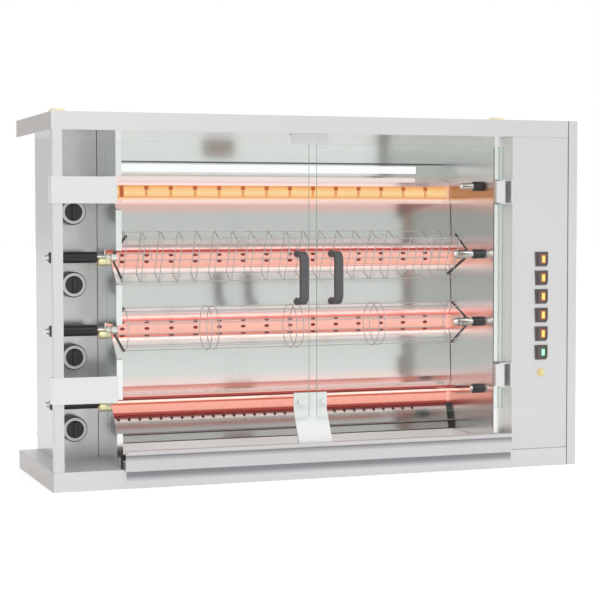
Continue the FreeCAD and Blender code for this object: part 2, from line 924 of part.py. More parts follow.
def make_burner_housings():
    housings = []
    for row in range(1, ROWS + 1):
        middle = burner_height(row)
        half = s.tile_rise / 2
        pocket_back = tile_face + s.tile_thick
        block = box("burner_block", left_wall_inner, housing_face, middle - half - s.housing_rim,
                    chamber_width, s.housing_depth, s.tile_rise + 2 * s.housing_rim)
        pocket = box("tile_pocket", tiles_begin, housing_face - 1, middle - half,
                     TILES * tile_pitch, pocket_back - housing_face + 1, s.tile_rise)
        plenum = box("gas_space", tiles_begin + s.tile_ledge, pocket_back - 1,
                     middle - half + s.tile_ledge, TILES * tile_pitch - 2 * s.tile_ledge,
                     housing_face + s.housing_depth - s.inner_gauge - pocket_back + 1,
                     s.tile_rise - 2 * s.tile_ledge)
        tube = rod("burner_tube", "x", left_wall_inner - s.burner_tube_length, burner_tube_depth,
                   middle, s.burner_tube_diameter, s.burner_tube_length)
        wall = s.casing_gauge
        bore = rod("tube_bore", "x", left_wall_inner - s.burner_tube_length + 2 * wall,
                   burner_tube_depth, middle, s.burner_tube_diameter - 2 * wall,
                   tiles_begin - left_wall_inner + s.burner_tube_length)
        seat = rod("nozzle_seat", "x", left_wall_inner - s.burner_tube_length - 1,
                   burner_tube_depth, middle, s.nozzle_diameter + 2 * s.running_gap, 3 * wall)
        whole = fuse("burner_body", block, tube)
        housings.append(cut("burner_housing", whole, pocket, plenum, bore, seat))
    piece("burner_housings", *housings)


def make_burner_tiles():
    tiles = []
    for row in range(1, ROWS + 1):
        for number in range(TILES):
            tiles.append(box("burner_tile", tiles_begin + number * tile_pitch + s.tile_gap / 2,
                             tile_face, burner_height(row) - s.tile_rise / 2 + s.tile_gap / 4,
                             tile_pitch - s.tile_gap, s.tile_thick, s.tile_rise - s.tile_gap / 2))
    piece("burner_tiles", *tiles)


def bent_pipe(points, diameter, bend):
    """A round pipe through the points, with an arc at each inner one."""
    edges = []
    start = points[0]
    for index in range(1, len(points) - 1):
        before = (points[index - 1] - points[index]).normalize()
        after = (points[index + 1] - points[index]).normalize()
        half_turn = before.getAngle(after) / 2
        run = bend / math.tan(half_turn)
        first = points[index] + before * run
        last = points[index] + after * run
        inwards = (before + after).normalize()
        centre = points[index] + inwards * (bend / math.sin(half_turn))
        edges.append(Part.LineSegment(start, first).toShape())
        edges.append(Part.Arc(first, centre - inwards * bend, last).toShape())
        start = last
    edges.append(Part.LineSegment(start, points[-1]).toShape())
    path = Part.Wire(edges)
    ring = Part.Wire([Part.makeCircle(diameter / 2, points[0], points[1] - points[0])])
    return path.makePipeShell([ring], True, False)


def make_burner_feed_pipes():
    """A copper pipe from each valve to the brass nozzle in the burner's tube."""
    pipes = []
    tube_start = left_wall_inner - s.burner_tube_length
    nozzle_start = tube_start + 2 * s.casing_gauge - s.nozzle_length
    valve_middle = s.bay_depth + s.casing_gauge + s.valve_size / 2
    for row in range(1, ROWS + 1):
        valve_top = float(knob_height(row) + s.valve_size / 2)
        height = float(burner_height(row))
        route = [
            FreeCAD.Vector(float(s.knob_place), float(valve_middle), valve_top),
            FreeCAD.Vector(float(s.knob_place), float(valve_middle), height),
            FreeCAD.Vector(float(s.knob_place), float(burner_tube_depth), height),
            FreeCAD.Vector(float(nozzle_start), float(burner_tube_depth), height),
        ]
        bend = float(s.feed_bend)
        pipe = bent_pipe(route[:3], float(s.feed_pipe), bend)
        elbow = Part.makeSphere(float(s.feed_pipe) * 0.62, route[2])
        stub = Part.makeCylinder(float(s.feed_pipe) / 2, float(nozzle_start) - float(s.knob_place),
                                 route[2], X_AXIS)
        nozzle = Part.makeCylinder(float(s.nozzle_diameter) / 2, float(s.nozzle_length), route[3], X_AXIS)
        pipes.append(shaped("feed_pipe", pipe.fuse([elbow, stub, nozzle]).removeSplitter()))
    piece("burner_feed_pipes", *pipes)


def make_gas_valves():
    valves = []
    size = s.valve_size
    front = s.bay_depth + s.casing_gauge
    for row in range(1, ROWS + 1):
        height = knob_height(row)
        block = box("valve_body", s.knob_place - size / 2, front, height - size / 2, size, size, size)
        stem_end = s.knob_face_depth + s.knob_skirt / 2
        stem = rod("valve_stem", "y", s.knob_place, stem_end, height, s.stem_diameter, front - stem_end)
        side = rod("valve_inlet", "x", s.manifold_place + s.manifold_diameter / 2, front + size / 2, height,
                   s.manifold_diameter * 0.7,
                   s.knob_place - size / 2 - s.manifold_place - s.manifold_diameter / 2)
        valves.append(fuse("gas_valve", block, stem, side))
    piece("gas_valves", *valves)


def make_gas_manifold():
    depth = s.bay_depth + s.casing_gauge + s.valve_size / 2
    riser = rod("manifold_riser", "z", s.manifold_place, depth, s.manifold_low - s.manifold_diameter / 2,
                s.manifold_diameter,
                knob_height(1) + s.manifold_above_knob - s.manifold_low + s.manifold_diameter / 2)
    leg = rod("manifold_leg", "y", s.manifold_place, depth, s.manifold_low, s.manifold_diameter,
              s.overall_depth - depth)
    inlet = rod("gas_inlet", "y", s.manifold_place, s.overall_depth, s.manifold_low, s.inlet_thread,
                s.inlet_length)
    bore = rod("inlet_bore", "y", s.manifold_place, s.overall_depth, s.manifold_low,
               s.inlet_thread - 8, s.inlet_length + 1)
    piece("gas_manifold", cut("manifold", fuse("manifold_body", riser, leg, inlet), bore))


def make_burner_probes():
    """Above, a spark electrode; below, a flame probe. Both reach in through the left wall."""
    probes = []
    for row in range(1, ROWS + 1):
        for side in (-1, 1):
            height = burner_height(row) + side * s.probe_spread / 2
            body = rod("probe_body", "x", probe_start, probe_depth, height, s.probe_diameter,
                       s.probe_body_length)
            tip = rod("probe_tip", "x", probe_start + s.probe_body_length, probe_depth, height,
                      s.probe_tip_diameter, s.probe_tip_length)
            probes.append(fuse("burner_probe", body, tip))
    piece("burner_probes", *probes)


# Drive

def make_gear_motors():
    motors = []
    size = s.gearbox_size
    for row in range(1, ROWS + 1):
        height = row_height(row)
        gearbox = box("gearbox", plate_end, s.spit_depth - size / 2, height - size / 2, s.gearbox_length,
                      size, size)
        can = rod("motor_can", "x", plate_end + s.gearbox_length, s.spit_depth, height + s.motor_offset,
                  s.motor_diameter, s.motor_length)
        bore = rod("gearbox_bore", "x", plate_end - 1, s.spit_depth, height,
                   s.shaft_diameter + 2 * s.running_gap, s.shaft_reach + 2)
        motors.append(cut("gear_motor", fuse("motor_body", gearbox, can), bore))
    piece("gear_motors", *motors)


def make_motor_plate():
    gauge = s.casing_gauge
    sheet = box("motor_sheet", motor_plate_place, s.motor_plate_front, s.base_rise, gauge,
                s.motor_plate_depth, body_rise)
    holes = []
    for row in range(1, ROWS + 1):
        holes.append(rod("drive_hole", "x", motor_plate_place - 1, s.spit_depth, row_height(row),
                         s.shaft_diameter + 2 * s.seat_gap, gauge + 2))
    piece("motor_plate", cut("motor_wall", sheet, *holes))


def make_drive_bearings():
    bearings = []
    radius = s.bearing_diameter / 2
    bore = s.shaft_diameter / 2 + s.running_gap
    spigot = s.bearing_spigot / 2
    for row in range(1, ROWS + 1):
        corners = [
            (bearing_start, bore),
            (bearing_start, radius - 2),
            (bearing_start + 2, radius),
            (right_wall_place, radius),
            (right_wall_place, spigot),
            (right_wall_place + s.bearing_spigot_length, spigot),
            (right_wall_place + s.bearing_spigot_length, bore),
        ]
        bearings.append(turned("drive_bearing", "x", corners, 0, s.spit_depth, row_height(row)))
    piece("drive_bearings", *bearings)


def make_drive_coupling(row):
    radius = s.coupling_diameter / 2
    stub_end = bearing_start - s.seat_gap
    corners = [
        (coupling_start, 0),
        (coupling_start, radius - 3),
        (coupling_start + 5, radius),
        (stub_end, radius),
        (stub_end, s.shaft_diameter / 2),
        (plate_end + s.shaft_reach, s.shaft_diameter / 2),
        (plate_end + s.shaft_reach, 0),
    ]
    piece("drive_coupling_%d" % row,
          turned("drive_coupling_turning", "x", corners, 0, s.spit_depth, row_height(row)))


def make_spit_rests():
    solids = []
    start = s.left_wall_place - s.rest_length
    for row in range(1, ROWS + 1):
        height = row_height(row) - s.rest_drop
        bush = rod("rest_bush", "x", start, rest_place(), height, s.rest_diameter, s.rest_length)
        bore = rod("rest_bore", "x", start - 1, rest_place(), height,
                   s.rest_bolt + 2 * s.running_gap, s.rest_length + 2)
        solids.append(cut("spit_rest", bush, bore))
        head = rod("rest_head", "x", start - s.rest_bolt_head_rise, rest_place(), height,
                   s.rest_bolt_head, s.rest_bolt_head_rise)
        shank = rod("rest_shank", "x", start, rest_place(), height, s.rest_bolt,
                    s.rest_length + s.casing_gauge)
        nut = rod("rest_nut", "x", left_wall_inner, rest_place(), height, s.rest_bolt_head, 4)
        solids.append(fuse("rest_bolt_whole", head, shank, nut))
    piece("spit_rests", *solids)


# Spits

def fluted_grip(row, diameter):
    """A hard black grip with flutes along it and a bore for the rod."""
    body = rod("grip_body", "x", s.grip_start, s.spit_depth, row_height(row), s.grip_diameter,
               grip_end - s.grip_start)
    soft = rounded("grip_soft", body, 3, lambda edge: (
        lies_at(edge, x=s.grip_start) or lies_at(edge, x=grip_end)))
    tools = [rod("grip_bore", "x", s.grip_start - 1, s.spit_depth, row_height(row),
                 diameter + 2 * s.running_gap, grip_end - s.grip_start + 2)]
    radius = float(s.grip_diameter) / 2
    for number in range(FLUTES):
        angle = 2 * math.pi * number / FLUTES
        tools.append(rod("grip_flute_cut", "x", s.grip_start + 8,
                         s.spit_depth + s.grip_diameter / 2 * math.cos(angle),
                         row_height(row) + s.grip_diameter / 2 * math.sin(angle),
                         s.grip_flute, grip_end - s.grip_start - 16))
    return cut("fluted_grip", soft, *tools)


def make_spit_ends(label, row):
    """The turned ends of a basket: the rod under the grip, a hub, and the sleeve on the coupling."""
    rod_radius = s.shaft_diameter / 2
    hub_end = hub_start + s.hub_length
    left = [
        (s.tip_start, 0),
        (s.tip_start, s.tip_diameter / 2 - 2),
        (s.tip_start + 2, s.tip_diameter / 2),
        (s.grip_start - s.seat_gap, s.tip_diameter / 2),
        (s.grip_start - s.seat_gap, rod_radius),
        (collar_start, rod_radius),
        (collar_start, s.collar_diameter / 2),
        (collar_start + s.collar_length, s.collar_diameter / 2),
        (collar_start + s.collar_length, rod_radius),
        (hub_start, rod_radius),
        (hub_start, s.hub_diameter / 2),
        (hub_end, s.hub_diameter / 2),
        (hub_end, 0),
    ]
    radius = s.sleeve_diameter / 2
    bore = s.coupling_diameter / 2 + s.running_gap
    right = [
        (sleeve_start, 0),
        (sleeve_start, radius - 4),
        (sleeve_start + 8, radius),
        (sleeve_end, radius),
        (sleeve_end, bore),
        (coupling_start, bore),
        (coupling_start, 0),
    ]
    height = row_height(row)
    piece(label, turned("basket_left_end", "x", left, 0, s.spit_depth, height),
          turned("basket_sleeve", "x", right, 0, s.spit_depth, height))


def welded_cage(length, tall, thick, wire):
    """A box of welded wire about the x axis, open at both ends: a tube with its gaps cut through."""
    corner = FreeCAD.Vector(0, -thick / 2, -tall / 2)
    inner = FreeCAD.Vector(-1, wire - thick / 2, wire - tall / 2)
    tube = Part.makeBox(length, thick, tall, corner)
    tube = tube.cut(Part.makeBox(length + 2, thick - 2 * wire, tall - 2 * wire, inner))
    pitch_x = (length - wire) / BASKET_COLUMNS
    pitch_z = (tall - wire) / BASKET_ROWS
    from_front = []
    from_above = []
    for column in range(BASKET_COLUMNS):
        x = wire + column * pitch_x
        from_above.append(Part.makeBox(pitch_x - wire, thick - 2 * wire, tall + 2,
                                       FreeCAD.Vector(x, wire - thick / 2, -tall / 2 - 1)))
        for line in range(BASKET_ROWS):
            z = wire - tall / 2 + line * pitch_z
            from_front.append(Part.makeBox(pitch_x - wire, thick + 2, pitch_z - wire,
                                           FreeCAD.Vector(x, -thick / 2 - 1, z)))
    tube = tube.cut(Part.makeCompound(from_front))
    return tube.cut(Part.makeCompound(from_above))


def end_strap(inner_x, outer_x, reach, gauge, width, hub_radius):
    """A bent flat bar from the rim of a basket to its hub, on both sides of the axis."""
    halves = []
    lean = gauge if outer_x > inner_x else -gauge
    for side in (-1, 1):
        points = [
            FreeCAD.Vector(inner_x, -width / 2, side * reach),
            FreeCAD.Vector(outer_x, -width / 2, side * (hub_radius - 1)),
            FreeCAD.Vector(outer_x - lean, -width / 2, side * (hub_radius - 1)),
            FreeCAD.Vector(inner_x - lean, -width / 2, side * reach),
        ]
        face = Part.Face(Part.makePolygon(points + [points[0]]))
        halves.append(face.extrude(FreeCAD.Vector(0, width, 0)))
    return halves


def basket_straps(reach):
    """The straps at both ends, cut back to the hub and to the sleeve that they are welded to."""
    gauge = float(s.strap_gauge)
    width = float(s.strap_width)
    hub = float(s.hub_diameter) / 2
    sleeve = float(s.sleeve_diameter) / 2
    hub_front = float(hub_start)
    hub_end = float(hub_start + s.hub_length)
    start = float(basket_start)
    end = float(basket_end)
    straps = end_strap(start + gauge, hub_front + gauge, reach, gauge, width, hub)
    straps += end_strap(end - gauge, float(sleeve_end) - gauge, reach, gauge, width, sleeve)
    hub_room = Part.makeCylinder(hub, hub_end - hub_front + 2, FreeCAD.Vector(hub_front - 1, 0, 0), X_AXIS)
    sleeve_room = Part.makeCylinder(sleeve, float(s.sleeve_length) + 15,
                                    FreeCAD.Vector(float(sleeve_start), 0, 0), X_AXIS)
    return [strap.cut([hub_room, sleeve_room]) for strap in straps]


def make_flat_basket(row):
    """A flat cage of welded wire, standing nearly upright, with a strap at each end."""
    length = float(basket_end - basket_start)
    tall = float(s.flat_basket_height)
    wire = float(s.basket_wire)
    cage = welded_cage(length, tall, float(s.flat_basket_thick), wire)
    cage.translate(FreeCAD.Vector(float(basket_start), 0, 0))
    whole = cage.fuse(basket_straps(tall / 2 - wire / 2))
    piece("flat_basket", shaped("flat_cage", whole, 0, s.spit_depth, row_height(row), X_AXIS,
                                s.flat_basket_tilt))


def make_round_basket(row):
    """A round cage of long bars on rings, with a strap at each end."""
    length = float(basket_end - basket_start)
    start = float(basket_start)
    wire = float(s.basket_wire)
    radius = float(s.round_basket_diameter) / 2
    solids = []
    for number in range(BASKET_RINGS):
        origin = FreeCAD.Vector(start + number * (length - wire) / (BASKET_RINGS - 1), 0, 0)
        outer = Part.makeCylinder(radius, wire, origin, X_AXIS)
        solids.append(outer.cut(Part.makeCylinder(radius - wire, wire, origin, X_AXIS)))
    for number in range(BASKET_BARS):
        bar = Part.makeBox(length, wire, wire, FreeCAD.Vector(start, -wire / 2, radius - 1.5 * wire))
        bar.rotate(FreeCAD.Vector(0, 0, 0), X_AXIS, 360 * number / BASKET_BARS)
        solids.append(bar)
    solids += basket_straps(radius - wire / 2)
    cage = solids[0].fuse(solids[1:])
    piece("round_basket", shaped("round_cage", cage, 0, s.spit_depth, row_height(row)))


def make_spit_rod(row):
    """The plain spit: one long rod with a neck and the sleeve on the coupling."""
    rod_radius = s.shaft_diameter / 2
    long_radius = s.rod_diameter / 2
    radius = s.sleeve_diameter / 2
    bore = s.coupling_diameter / 2 + s.running_gap
    collar_end = collar_start + s.collar_length
    corners = [
        (s.tip_start, 0),
        (s.tip_start, s.tip_diameter / 2 - 2),
        (s.tip_start + 2, s.tip_diameter / 2),
        (s.grip_start - s.seat_gap, s.tip_diameter / 2),
        (s.grip_start - s.seat_gap, rod_radius),
        (collar_start, rod_radius),
        (collar_start, s.collar_diameter / 2),
        (collar_end, s.collar_diameter / 2),
        (collar_end, long_radius),
        (sleeve_start - 60, long_radius),
        (sleeve_start - 46, rod_radius - 1),
        (sleeve_start, rod_radius - 1),
        (sleeve_start + 8, radius),
        (sleeve_end, radius),
        (sleeve_end, bore),
        (coupling_start, bore),
        (coupling_start, 0),
    ]
    piece("spit_rod", turned("plain_rod", "x", corners, 0, s.spit_depth, row_height(row)))


# Doors

def make_door(side, left, width, handle_x, make_clamp, bolt_x):
    """One glass door with its clamps and its pull."""
    glass = box(side + "_pane", left, s.glass_front, s.door_low, width, s.glass_gauge,
                door_high - s.door_low)
    holes = []
    for height in (handle_low, handle_high):
        holes.append(rod("handle_hole", "y", handle_x, s.glass_front - 1, height,
                         s.handle_screw + 2 * s.seat_gap, s.glass_gauge + 2))
    clamps = []
    for low in (upper_hinge, lower_hinge):
        middle = low + s.hinge_height / 2
        holes.append(rod("clamp_hole", "y", bolt_x, s.glass_front - 1, middle,
                         s.clamp_bolt + 2 * s.seat_gap, s.glass_gauge + 2))
        clamps += make_clamp(low, bolt_x)
    piece(side + "_door_glass", cut(side + "_glass", glass, *holes))
    piece(side + "_door_clamps", *clamps)
    make_door_handle(side, handle_x)


def clamp_back(left, bottom, height, bolt_x, low):
    """The jaw behind the glass, with its bolt through the glass."""
    plate = box("back_jaw", left, glass_back, bottom, s.jaw_width, s.jaw_gauge / 2, height)
    bolt = rod("clamp_stud", "y", bolt_x, s.glass_front, low + s.hinge_height / 2, s.clamp_bolt,
               s.glass_gauge + s.jaw_gauge / 4)
    return fuse("clamp_back", plate, bolt)


def left_door_clamp(low, bolt_x):
    """Front jaw with its knuckle on the pin, and the back jaw."""
    bottom = low + s.hinge_gauge + s.seat_gap
    height = s.hinge_height - 2 * s.hinge_gauge - 2 * s.seat_gap
    left = bolt_x - s.jaw_width / 2
    knuckle = rod("knuckle", "z", left_pivot, s.pivot_depth, bottom, s.knuckle_diameter, height)
    web = box("knuckle_web", left_pivot - 4, s.pivot_depth, bottom, 8,
              s.glass_front - s.pivot_depth - s.jaw_gauge / 2, height)
    jaw = box("front_jaw", left, s.glass_front - s.jaw_gauge, bottom, s.jaw_width, s.jaw_gauge, height)
    bore = rod("pin_bore", "z", left_pivot, s.pivot_depth, bottom - 1, s.hinge_pin + 2 * s.running_gap,
               height + 2)
    front = cut("clamp_front", fuse("clamp_front_body", knuckle, web, jaw), bore)
    return [front, clamp_back(left, bottom, height, bolt_x, low)]


def right_door_clamp(low, bolt_x):
    """A solid block in front of the glass that turns on the pin, and the back jaw."""
    bottom = low + s.hinge_gauge + s.seat_gap
    height = s.hinge_height - 2 * s.hinge_gauge - 2 * s.seat_gap
    left = right_glass_end - s.block_width
    block = box("clamp_block", left, s.block_front, bottom, s.block_width,
                s.glass_front - s.block_front, height)
    soft = rounded("clamp_block_soft", block, s.block_bend, lambda edge: (
        lies_at(edge, x=left, y=s.block_front) or lies_at(edge, x=right_glass_end, y=s.block_front)))
    bore = rod("pin_bore", "z", right_pivot, s.block_pivot_depth, bottom - 1,
               s.hinge_pin + 2 * s.running_gap, height + 2)
    return [cut("clamp_front", soft, bore),
            clamp_back(bolt_x - s.jaw_width / 2, bottom, height, bolt_x, low)]


def rounded_strip(width, thick, corner, start, normal_y):
    """Cross-section of the pull where it leaves the glass: a rectangle with round corners."""
    half_w = width / 2 - corner
    half_t = thick / 2 - corner
    edges = []
    centres = [(half_w, half_t, 0), (-half_w, half_t, 90), (-half_w, -half_t, 180), (half_w, -half_t, 270)]
    ends = []
    for across, up, angle in centres:
        centre = FreeCAD.Vector(across, up, 0)
        arc = []
        for step in (0, 45, 90):
            turn = math.radians(angle + step)
            arc.append(centre + FreeCAD.Vector(corner * math.cos(turn), corner * math.sin(turn), 0))
        ends.append(arc)
    for number in range(4):
        arc = ends[number]
        following = ends[(number + 1) % 4]
        edges.append(Part.Arc(*arc).toShape())
        edges.append(Part.LineSegment(arc[2], following[0]).toShape())
    wire = Part.Wire(edges)
    wire.rotate(FreeCAD.Vector(0, 0, 0), X_AXIS, 90 * normal_y)
    wire.translate(start)
    return wire


def make_door_handle(side, handle_x):
    """A bow pull with two studs through the glass and a cap on each."""
    x = float(handle_x)
    front = float(s.glass_front)
    bar_y = front - float(s.handle_stand)
    low = float(handle_low)
    high = float(handle_high)
    bend = float(s.handle_bend)
    half = bend / math.sqrt(2)
    path = Part.Wire([
        Part.LineSegment(FreeCAD.Vector(x, front, low), FreeCAD.Vector(x, bar_y + bend, low)).toShape(),
        Part.Arc(FreeCAD.Vector(x, bar_y + bend, low),
                 FreeCAD.Vector(x, bar_y + bend - half, low + bend - half),
                 FreeCAD.Vector(x, bar_y, low + bend)).toShape(),
        Part.LineSegment(FreeCAD.Vector(x, bar_y, low + bend),
                         FreeCAD.Vector(x, bar_y, high - bend)).toShape(),
        Part.Arc(FreeCAD.Vector(x, bar_y, high - bend),
                 FreeCAD.Vector(x, bar_y + bend - half, high - bend + half),
                 FreeCAD.Vector(x, bar_y + bend, high)).toShape(),
        Part.LineSegment(FreeCAD.Vector(x, bar_y + bend, high), FreeCAD.Vector(x, front, high)).toShape(),
    ])
    section = rounded_strip(float(s.handle_width), float(s.handle_thick), float(s.handle_thick) * 0.3,
                            FreeCAD.Vector(x, front, low), 1)
    bow = shaped(side + "_bow", path.makePipeShell([section], True, False))
    studs = []
    for height in (handle_low, handle_high):
        stud = rod("handle_stud", "y", handle_x, s.glass_front, height, s.handle_screw,
                   s.glass_gauge + s.handle_cap_rise / 2)
        cap = rod("handle_cap_disc", "y", handle_x, glass_back, height, s.handle_cap, s.handle_cap_rise)
        studs.append(fuse("handle_fixing", stud, cap))
    piece(side + "_door_handle", bow, *studs)


def make_left_door():
    right = door_gap_middle - s.door_gap / 2
    make_door("left", left_glass_start, right - left_glass_start, right - s.handle_from_edge + 11,
              left_door_clamp, left_glass_start + s.jaw_width / 2 + 1)


def make_right_door():
    left = door_gap_middle + s.door_gap / 2
    make_door("right", left, right_glass_end - left, left + s.handle_from_edge,
              right_door_clamp, right_glass_end - s.jaw_width / 2 - 1)


def left_hinge_bracket(low):
    """A bent plate from the post to the door's pivot, with two ears and the pin between them."""
    gauge = s.hinge_gauge
    end = left_pivot + s.arm_past_pivot
    parts = [
        box("hinge_plate", 0, -gauge, low, end, gauge, s.hinge_height),
        box("hinge_flange_plate", 0, -gauge, low, gauge, s.hinge_flange + gauge, s.hinge_height),
    ]
    for height in (low, low + s.hinge_height - gauge):
        parts.append(box("hinge_ear", left_pivot - s.ear_back, -gauge, height,
                         s.ear_back + s.arm_past_pivot, s.pivot_depth + gauge + s.ear_back, gauge))
    parts.append(rod("hinge_pin_rod", "z", left_pivot, s.pivot_depth, low + gauge / 2, s.hinge_pin,
                     s.hinge_height - gauge))
    return fuse("left_bracket", *parts)


def right_hinge_bracket(low):
    """A plate on the side of the control column, with two ears and the pin between them."""
    gauge = s.hinge_gauge
    side = panel_place - gauge
    parts = [box("hinge_side_plate", side, 1, low, gauge, s.hinge_flange - 1, s.hinge_height)]
    reach = s.glass_front - s.block_pivot_depth - s.ear_room
    for height in (low, low + s.hinge_height - gauge):
        parts.append(box("hinge_ear", right_pivot, s.block_pivot_depth - reach, height,
                         panel_place - right_pivot, 2 * reach, gauge))
        parts.append(rod("hinge_ear_end", "z", right_pivot, s.block_pivot_depth, height, 2 * reach, gauge))
    parts.append(rod("hinge_pin_rod", "z", right_pivot, s.block_pivot_depth, low + gauge / 2,
                     s.hinge_pin, s.hinge_height - gauge))
    return fuse("right_bracket", *parts)


def make_door_hinge_brackets():
    brackets = []
    for low in (upper_hinge, lower_hinge):
        brackets.append(left_hinge_bracket(low))
        brackets.append(right_hinge_bracket(low))
    piece("door_hinge_brackets", *brackets)


# Controls

def make_gas_knob(row):
    """A black knob: skirt, raised ring and a grip bar across the face."""
    front = s.knob_face_depth
    skirt_back = s.bay_depth - s.knob_gap
    face = s.knob_face_diameter / 2
    ring = s.knob_ring_diameter / 2
    radius = s.knob_diameter / 2
    inner = radius - 4
    hub = s.stem_diameter / 2 + s.running_gap
    hub_front = front + s.knob_skirt / 2
    corners = [
        (front, 0),
        (front, face - 2),
        (front + 2, face),
        (front + 5, face),
        (front + 5, ring - 2),
        (front + 7, ring),
        (front + 9, radius),
        (skirt_back, radius),
        (skirt_back, inner),
        (front + 14, inner),
        (front + 14, hub + 4),
        (skirt_back, hub + 4),
        (skirt_back, hub),
        (hub_front, hub),
        (hub_front, 0),
    ]
    height = knob_height(row)
    body = turned("knob_turning", "y", corners, s.knob_place, 0, height)
    bar = box("knob_bar", s.knob_place - s.knob_bar_width / 2, front - s.knob_bar_rise,
              height - face + 3, s.knob_bar_width, s.knob_bar_rise + 2, s.knob_face_diameter - 6)
    soft = rounded("knob_bar_soft", bar, 2, lambda edge: lies_at(edge, y=front - s.knob_bar_rise))
    piece("gas_knob_%d" % row, fuse("gas_knob_whole", body, soft))


def make_switch_housings():
    """Each switch: a bezel with one cut-away corner, and the body behind the panel."""
    housings = []
    half_w = s.bezel_width / 2
    half_h = s.bezel_height / 2
    for number in range(SWITCHES):
        middle = lowest_switch + number * s.switch_pitch
        left = switch_place - half_w
        right = switch_place + half_w
        corners = [
            (left + s.bezel_taper, middle - half_h),
            (right - s.bezel_chamfer, middle - half_h),
            (right, middle - half_h + 2 * s.bezel_chamfer),
            (right, middle + half_h),
            (left, middle + half_h),
        ]
        flange = padded("switch_bezel", "XZ_Plane", corners, 0, s.bezel_rise)
        body = box("switch_body", switch_place - s.switch_body_width / 2, 0,
                   middle - s.switch_body_height / 2, s.switch_body_width,
                   s.switch_body_depth, s.switch_body_height)
        room = s.rocker_radius + s.rocker_gap
        well = box("rocker_well", switch_place - room, -s.bezel_rise - 1,
                   middle - s.rocker_height / 2 - s.rocker_gap, 2 * room,
                   s.bezel_rise + 1 + s.rocker_pivot_depth + room, s.rocker_height + 2 * s.rocker_gap)
        housings.append(cut("switch_housing", fuse("switch_shell", flange, body), well))
    piece("switch_housings", *housings)


def make_rocker(number):
    """A rocker cut from a round bar by two sloping faces, resting with its right side pressed."""
    middle = lowest_switch + (SWITCHES - number) * s.switch_pitch
    low = -s.rocker_height / 2
    drum = rod("rocker_drum", "z", 0, 0, low, s.rocker_radius * 2, s.rocker_height)
    faces = []
    crown = -(s.rocker_pivot_depth + s.bezel_rise / 2)
    for side in (-1, 1):
        reach = s.rocker_radius * 2
        face = box("rocker_face", 0, crown - reach, low - 1, reach, reach, s.rocker_height + 2)
        angle = -float(s.rocker_slope) if side == 1 else 180 + float(s.rocker_slope)
        turn = FreeCAD.Rotation(Z_AXIS, angle)
        if side == 1:
            face.Placement = FreeCAD.Placement(FreeCAD.Vector(0, 0, 0), turn)
            place(face, -reach * math.sin(math.radians(float(s.rocker_slope))),
                  crown - reach * math.cos(math.radians(float(s.rocker_slope))), low - 1)
        else:
            face.Placement = FreeCAD.Placement(FreeCAD.Vector(0, 0, 0), turn)
            place(face, 0, crown, low - 1)
        faces.append(face)
    body = cut("rocker_cut", drum, *faces)
    holder = doc.addObject("Part::Compound", "rocker_holder")
    holder.Links = [body]
    turn_to(holder, Z_AXIS, s.rocker_rest_angle)
    place(holder, switch_place, s.rocker_pivot_depth, middle)
    piece("rocker_%d" % number, holder)


def make_button():
    ring = s.button_ring / 2
    barrel = s.button_diameter / 2 + 2
    bore = s.button_diameter / 2 + s.running_gap
    corners = [
        (-s.button_ring_rise, bore),
        (-s.button_ring_rise, ring - 1),
        (-s.button_ring_rise + 1, ring),
        (0, ring),
        (0, barrel),
        (s.button_depth, barrel),
        (s.button_depth, bore),
    ]
    piece("button_bezel", turned("bezel_ring", "y", corners, switch_place, 0, s.button_height))
    radius = s.button_diameter / 2
    cap = [
        (-s.button_rise, 0),
        (-s.button_rise, radius - 2),
        (-s.button_rise + 2, radius),
        (s.button_depth - 6, radius),
        (s.button_depth - 6, 0),
    ]
    piece("push_button", turned("button_cap", "y", cap, switch_place, 0, s.button_height))


def make_cable_gland():
    radius = s.gland_diameter / 2
    bore = s.gland_bore / 2
    outside = s.overall_depth
    corners = [
        (back_inner - 10, bore),
        (back_inner - 10, radius + 4),
        (back_inner, radius + 4),
        (back_inner, radius),
        (outside, radius),
        (outside, radius + 4),
        (outside + s.gland_reach * 0.4, radius + 4),
        (outside + s.gland_reach, radius * 0.7),
        (outside + s.gland_reach, bore),
    ]
    piece("cable_gland", turned("gland_turning", "y", corners, gland_place, 0, s.gland_height))


# Drawer

def make_drip_tray():
    """A front with a hemmed lip, and the shallow pan behind it that slides on the base."""
    gauge = s.inner_gauge
    front = s.tray_front
    floor = s.base_rise + s.seat_gap
    pan_left = tray_left + s.pan_inset
    pan_right = tray_right - s.pan_right_inset
    width = tray_right - tray_left
    skin = box("tray_skin", tray_left, front, s.tray_front_low, width, gauge,
               s.tray_front_high - s.tray_front_low)
    hem = box("tray_hem", tray_left + s.tray_lip_inset, front - s.tray_lip_reach,
              s.tray_front_high - s.tray_lip_rise, width - 2 * s.tray_lip_inset,
              s.tray_lip_reach + gauge, s.tray_lip_rise)
    top = box("tray_top", tray_left + s.tray_lip_inset, front, s.tray_front_high - gauge,
              width - 2 * s.tray_lip_inset, s.tray_lip_back + gauge, gauge)
    foot = box("tray_foot", tray_left, front, s.tray_front_low, width, s.tray_lip_back, gauge)
    pan_floor = box("pan_floor", pan_left, front, floor, pan_right - pan_left, pan_back - front, gauge)
    parts = [skin, hem, top, foot, pan_floor]
    for place_x in (pan_left, pan_right - gauge):
        parts.append(box("pan_side", place_x, front, floor, gauge, pan_back - front,
                         s.pan_high - floor))
    parts.append(box("pan_rear", pan_left, pan_back - gauge, floor, pan_right - pan_left, gauge,
                     s.pan_high - floor))
    whole = fuse("tray_body", *parts)
    soft = rounded("tray_soft", whole, 1, lambda edge: (
        lies_at(edge, y=front - s.tray_lip_reach) and edge.Length > float(width) / 2))
    piece("drip_tray", soft)


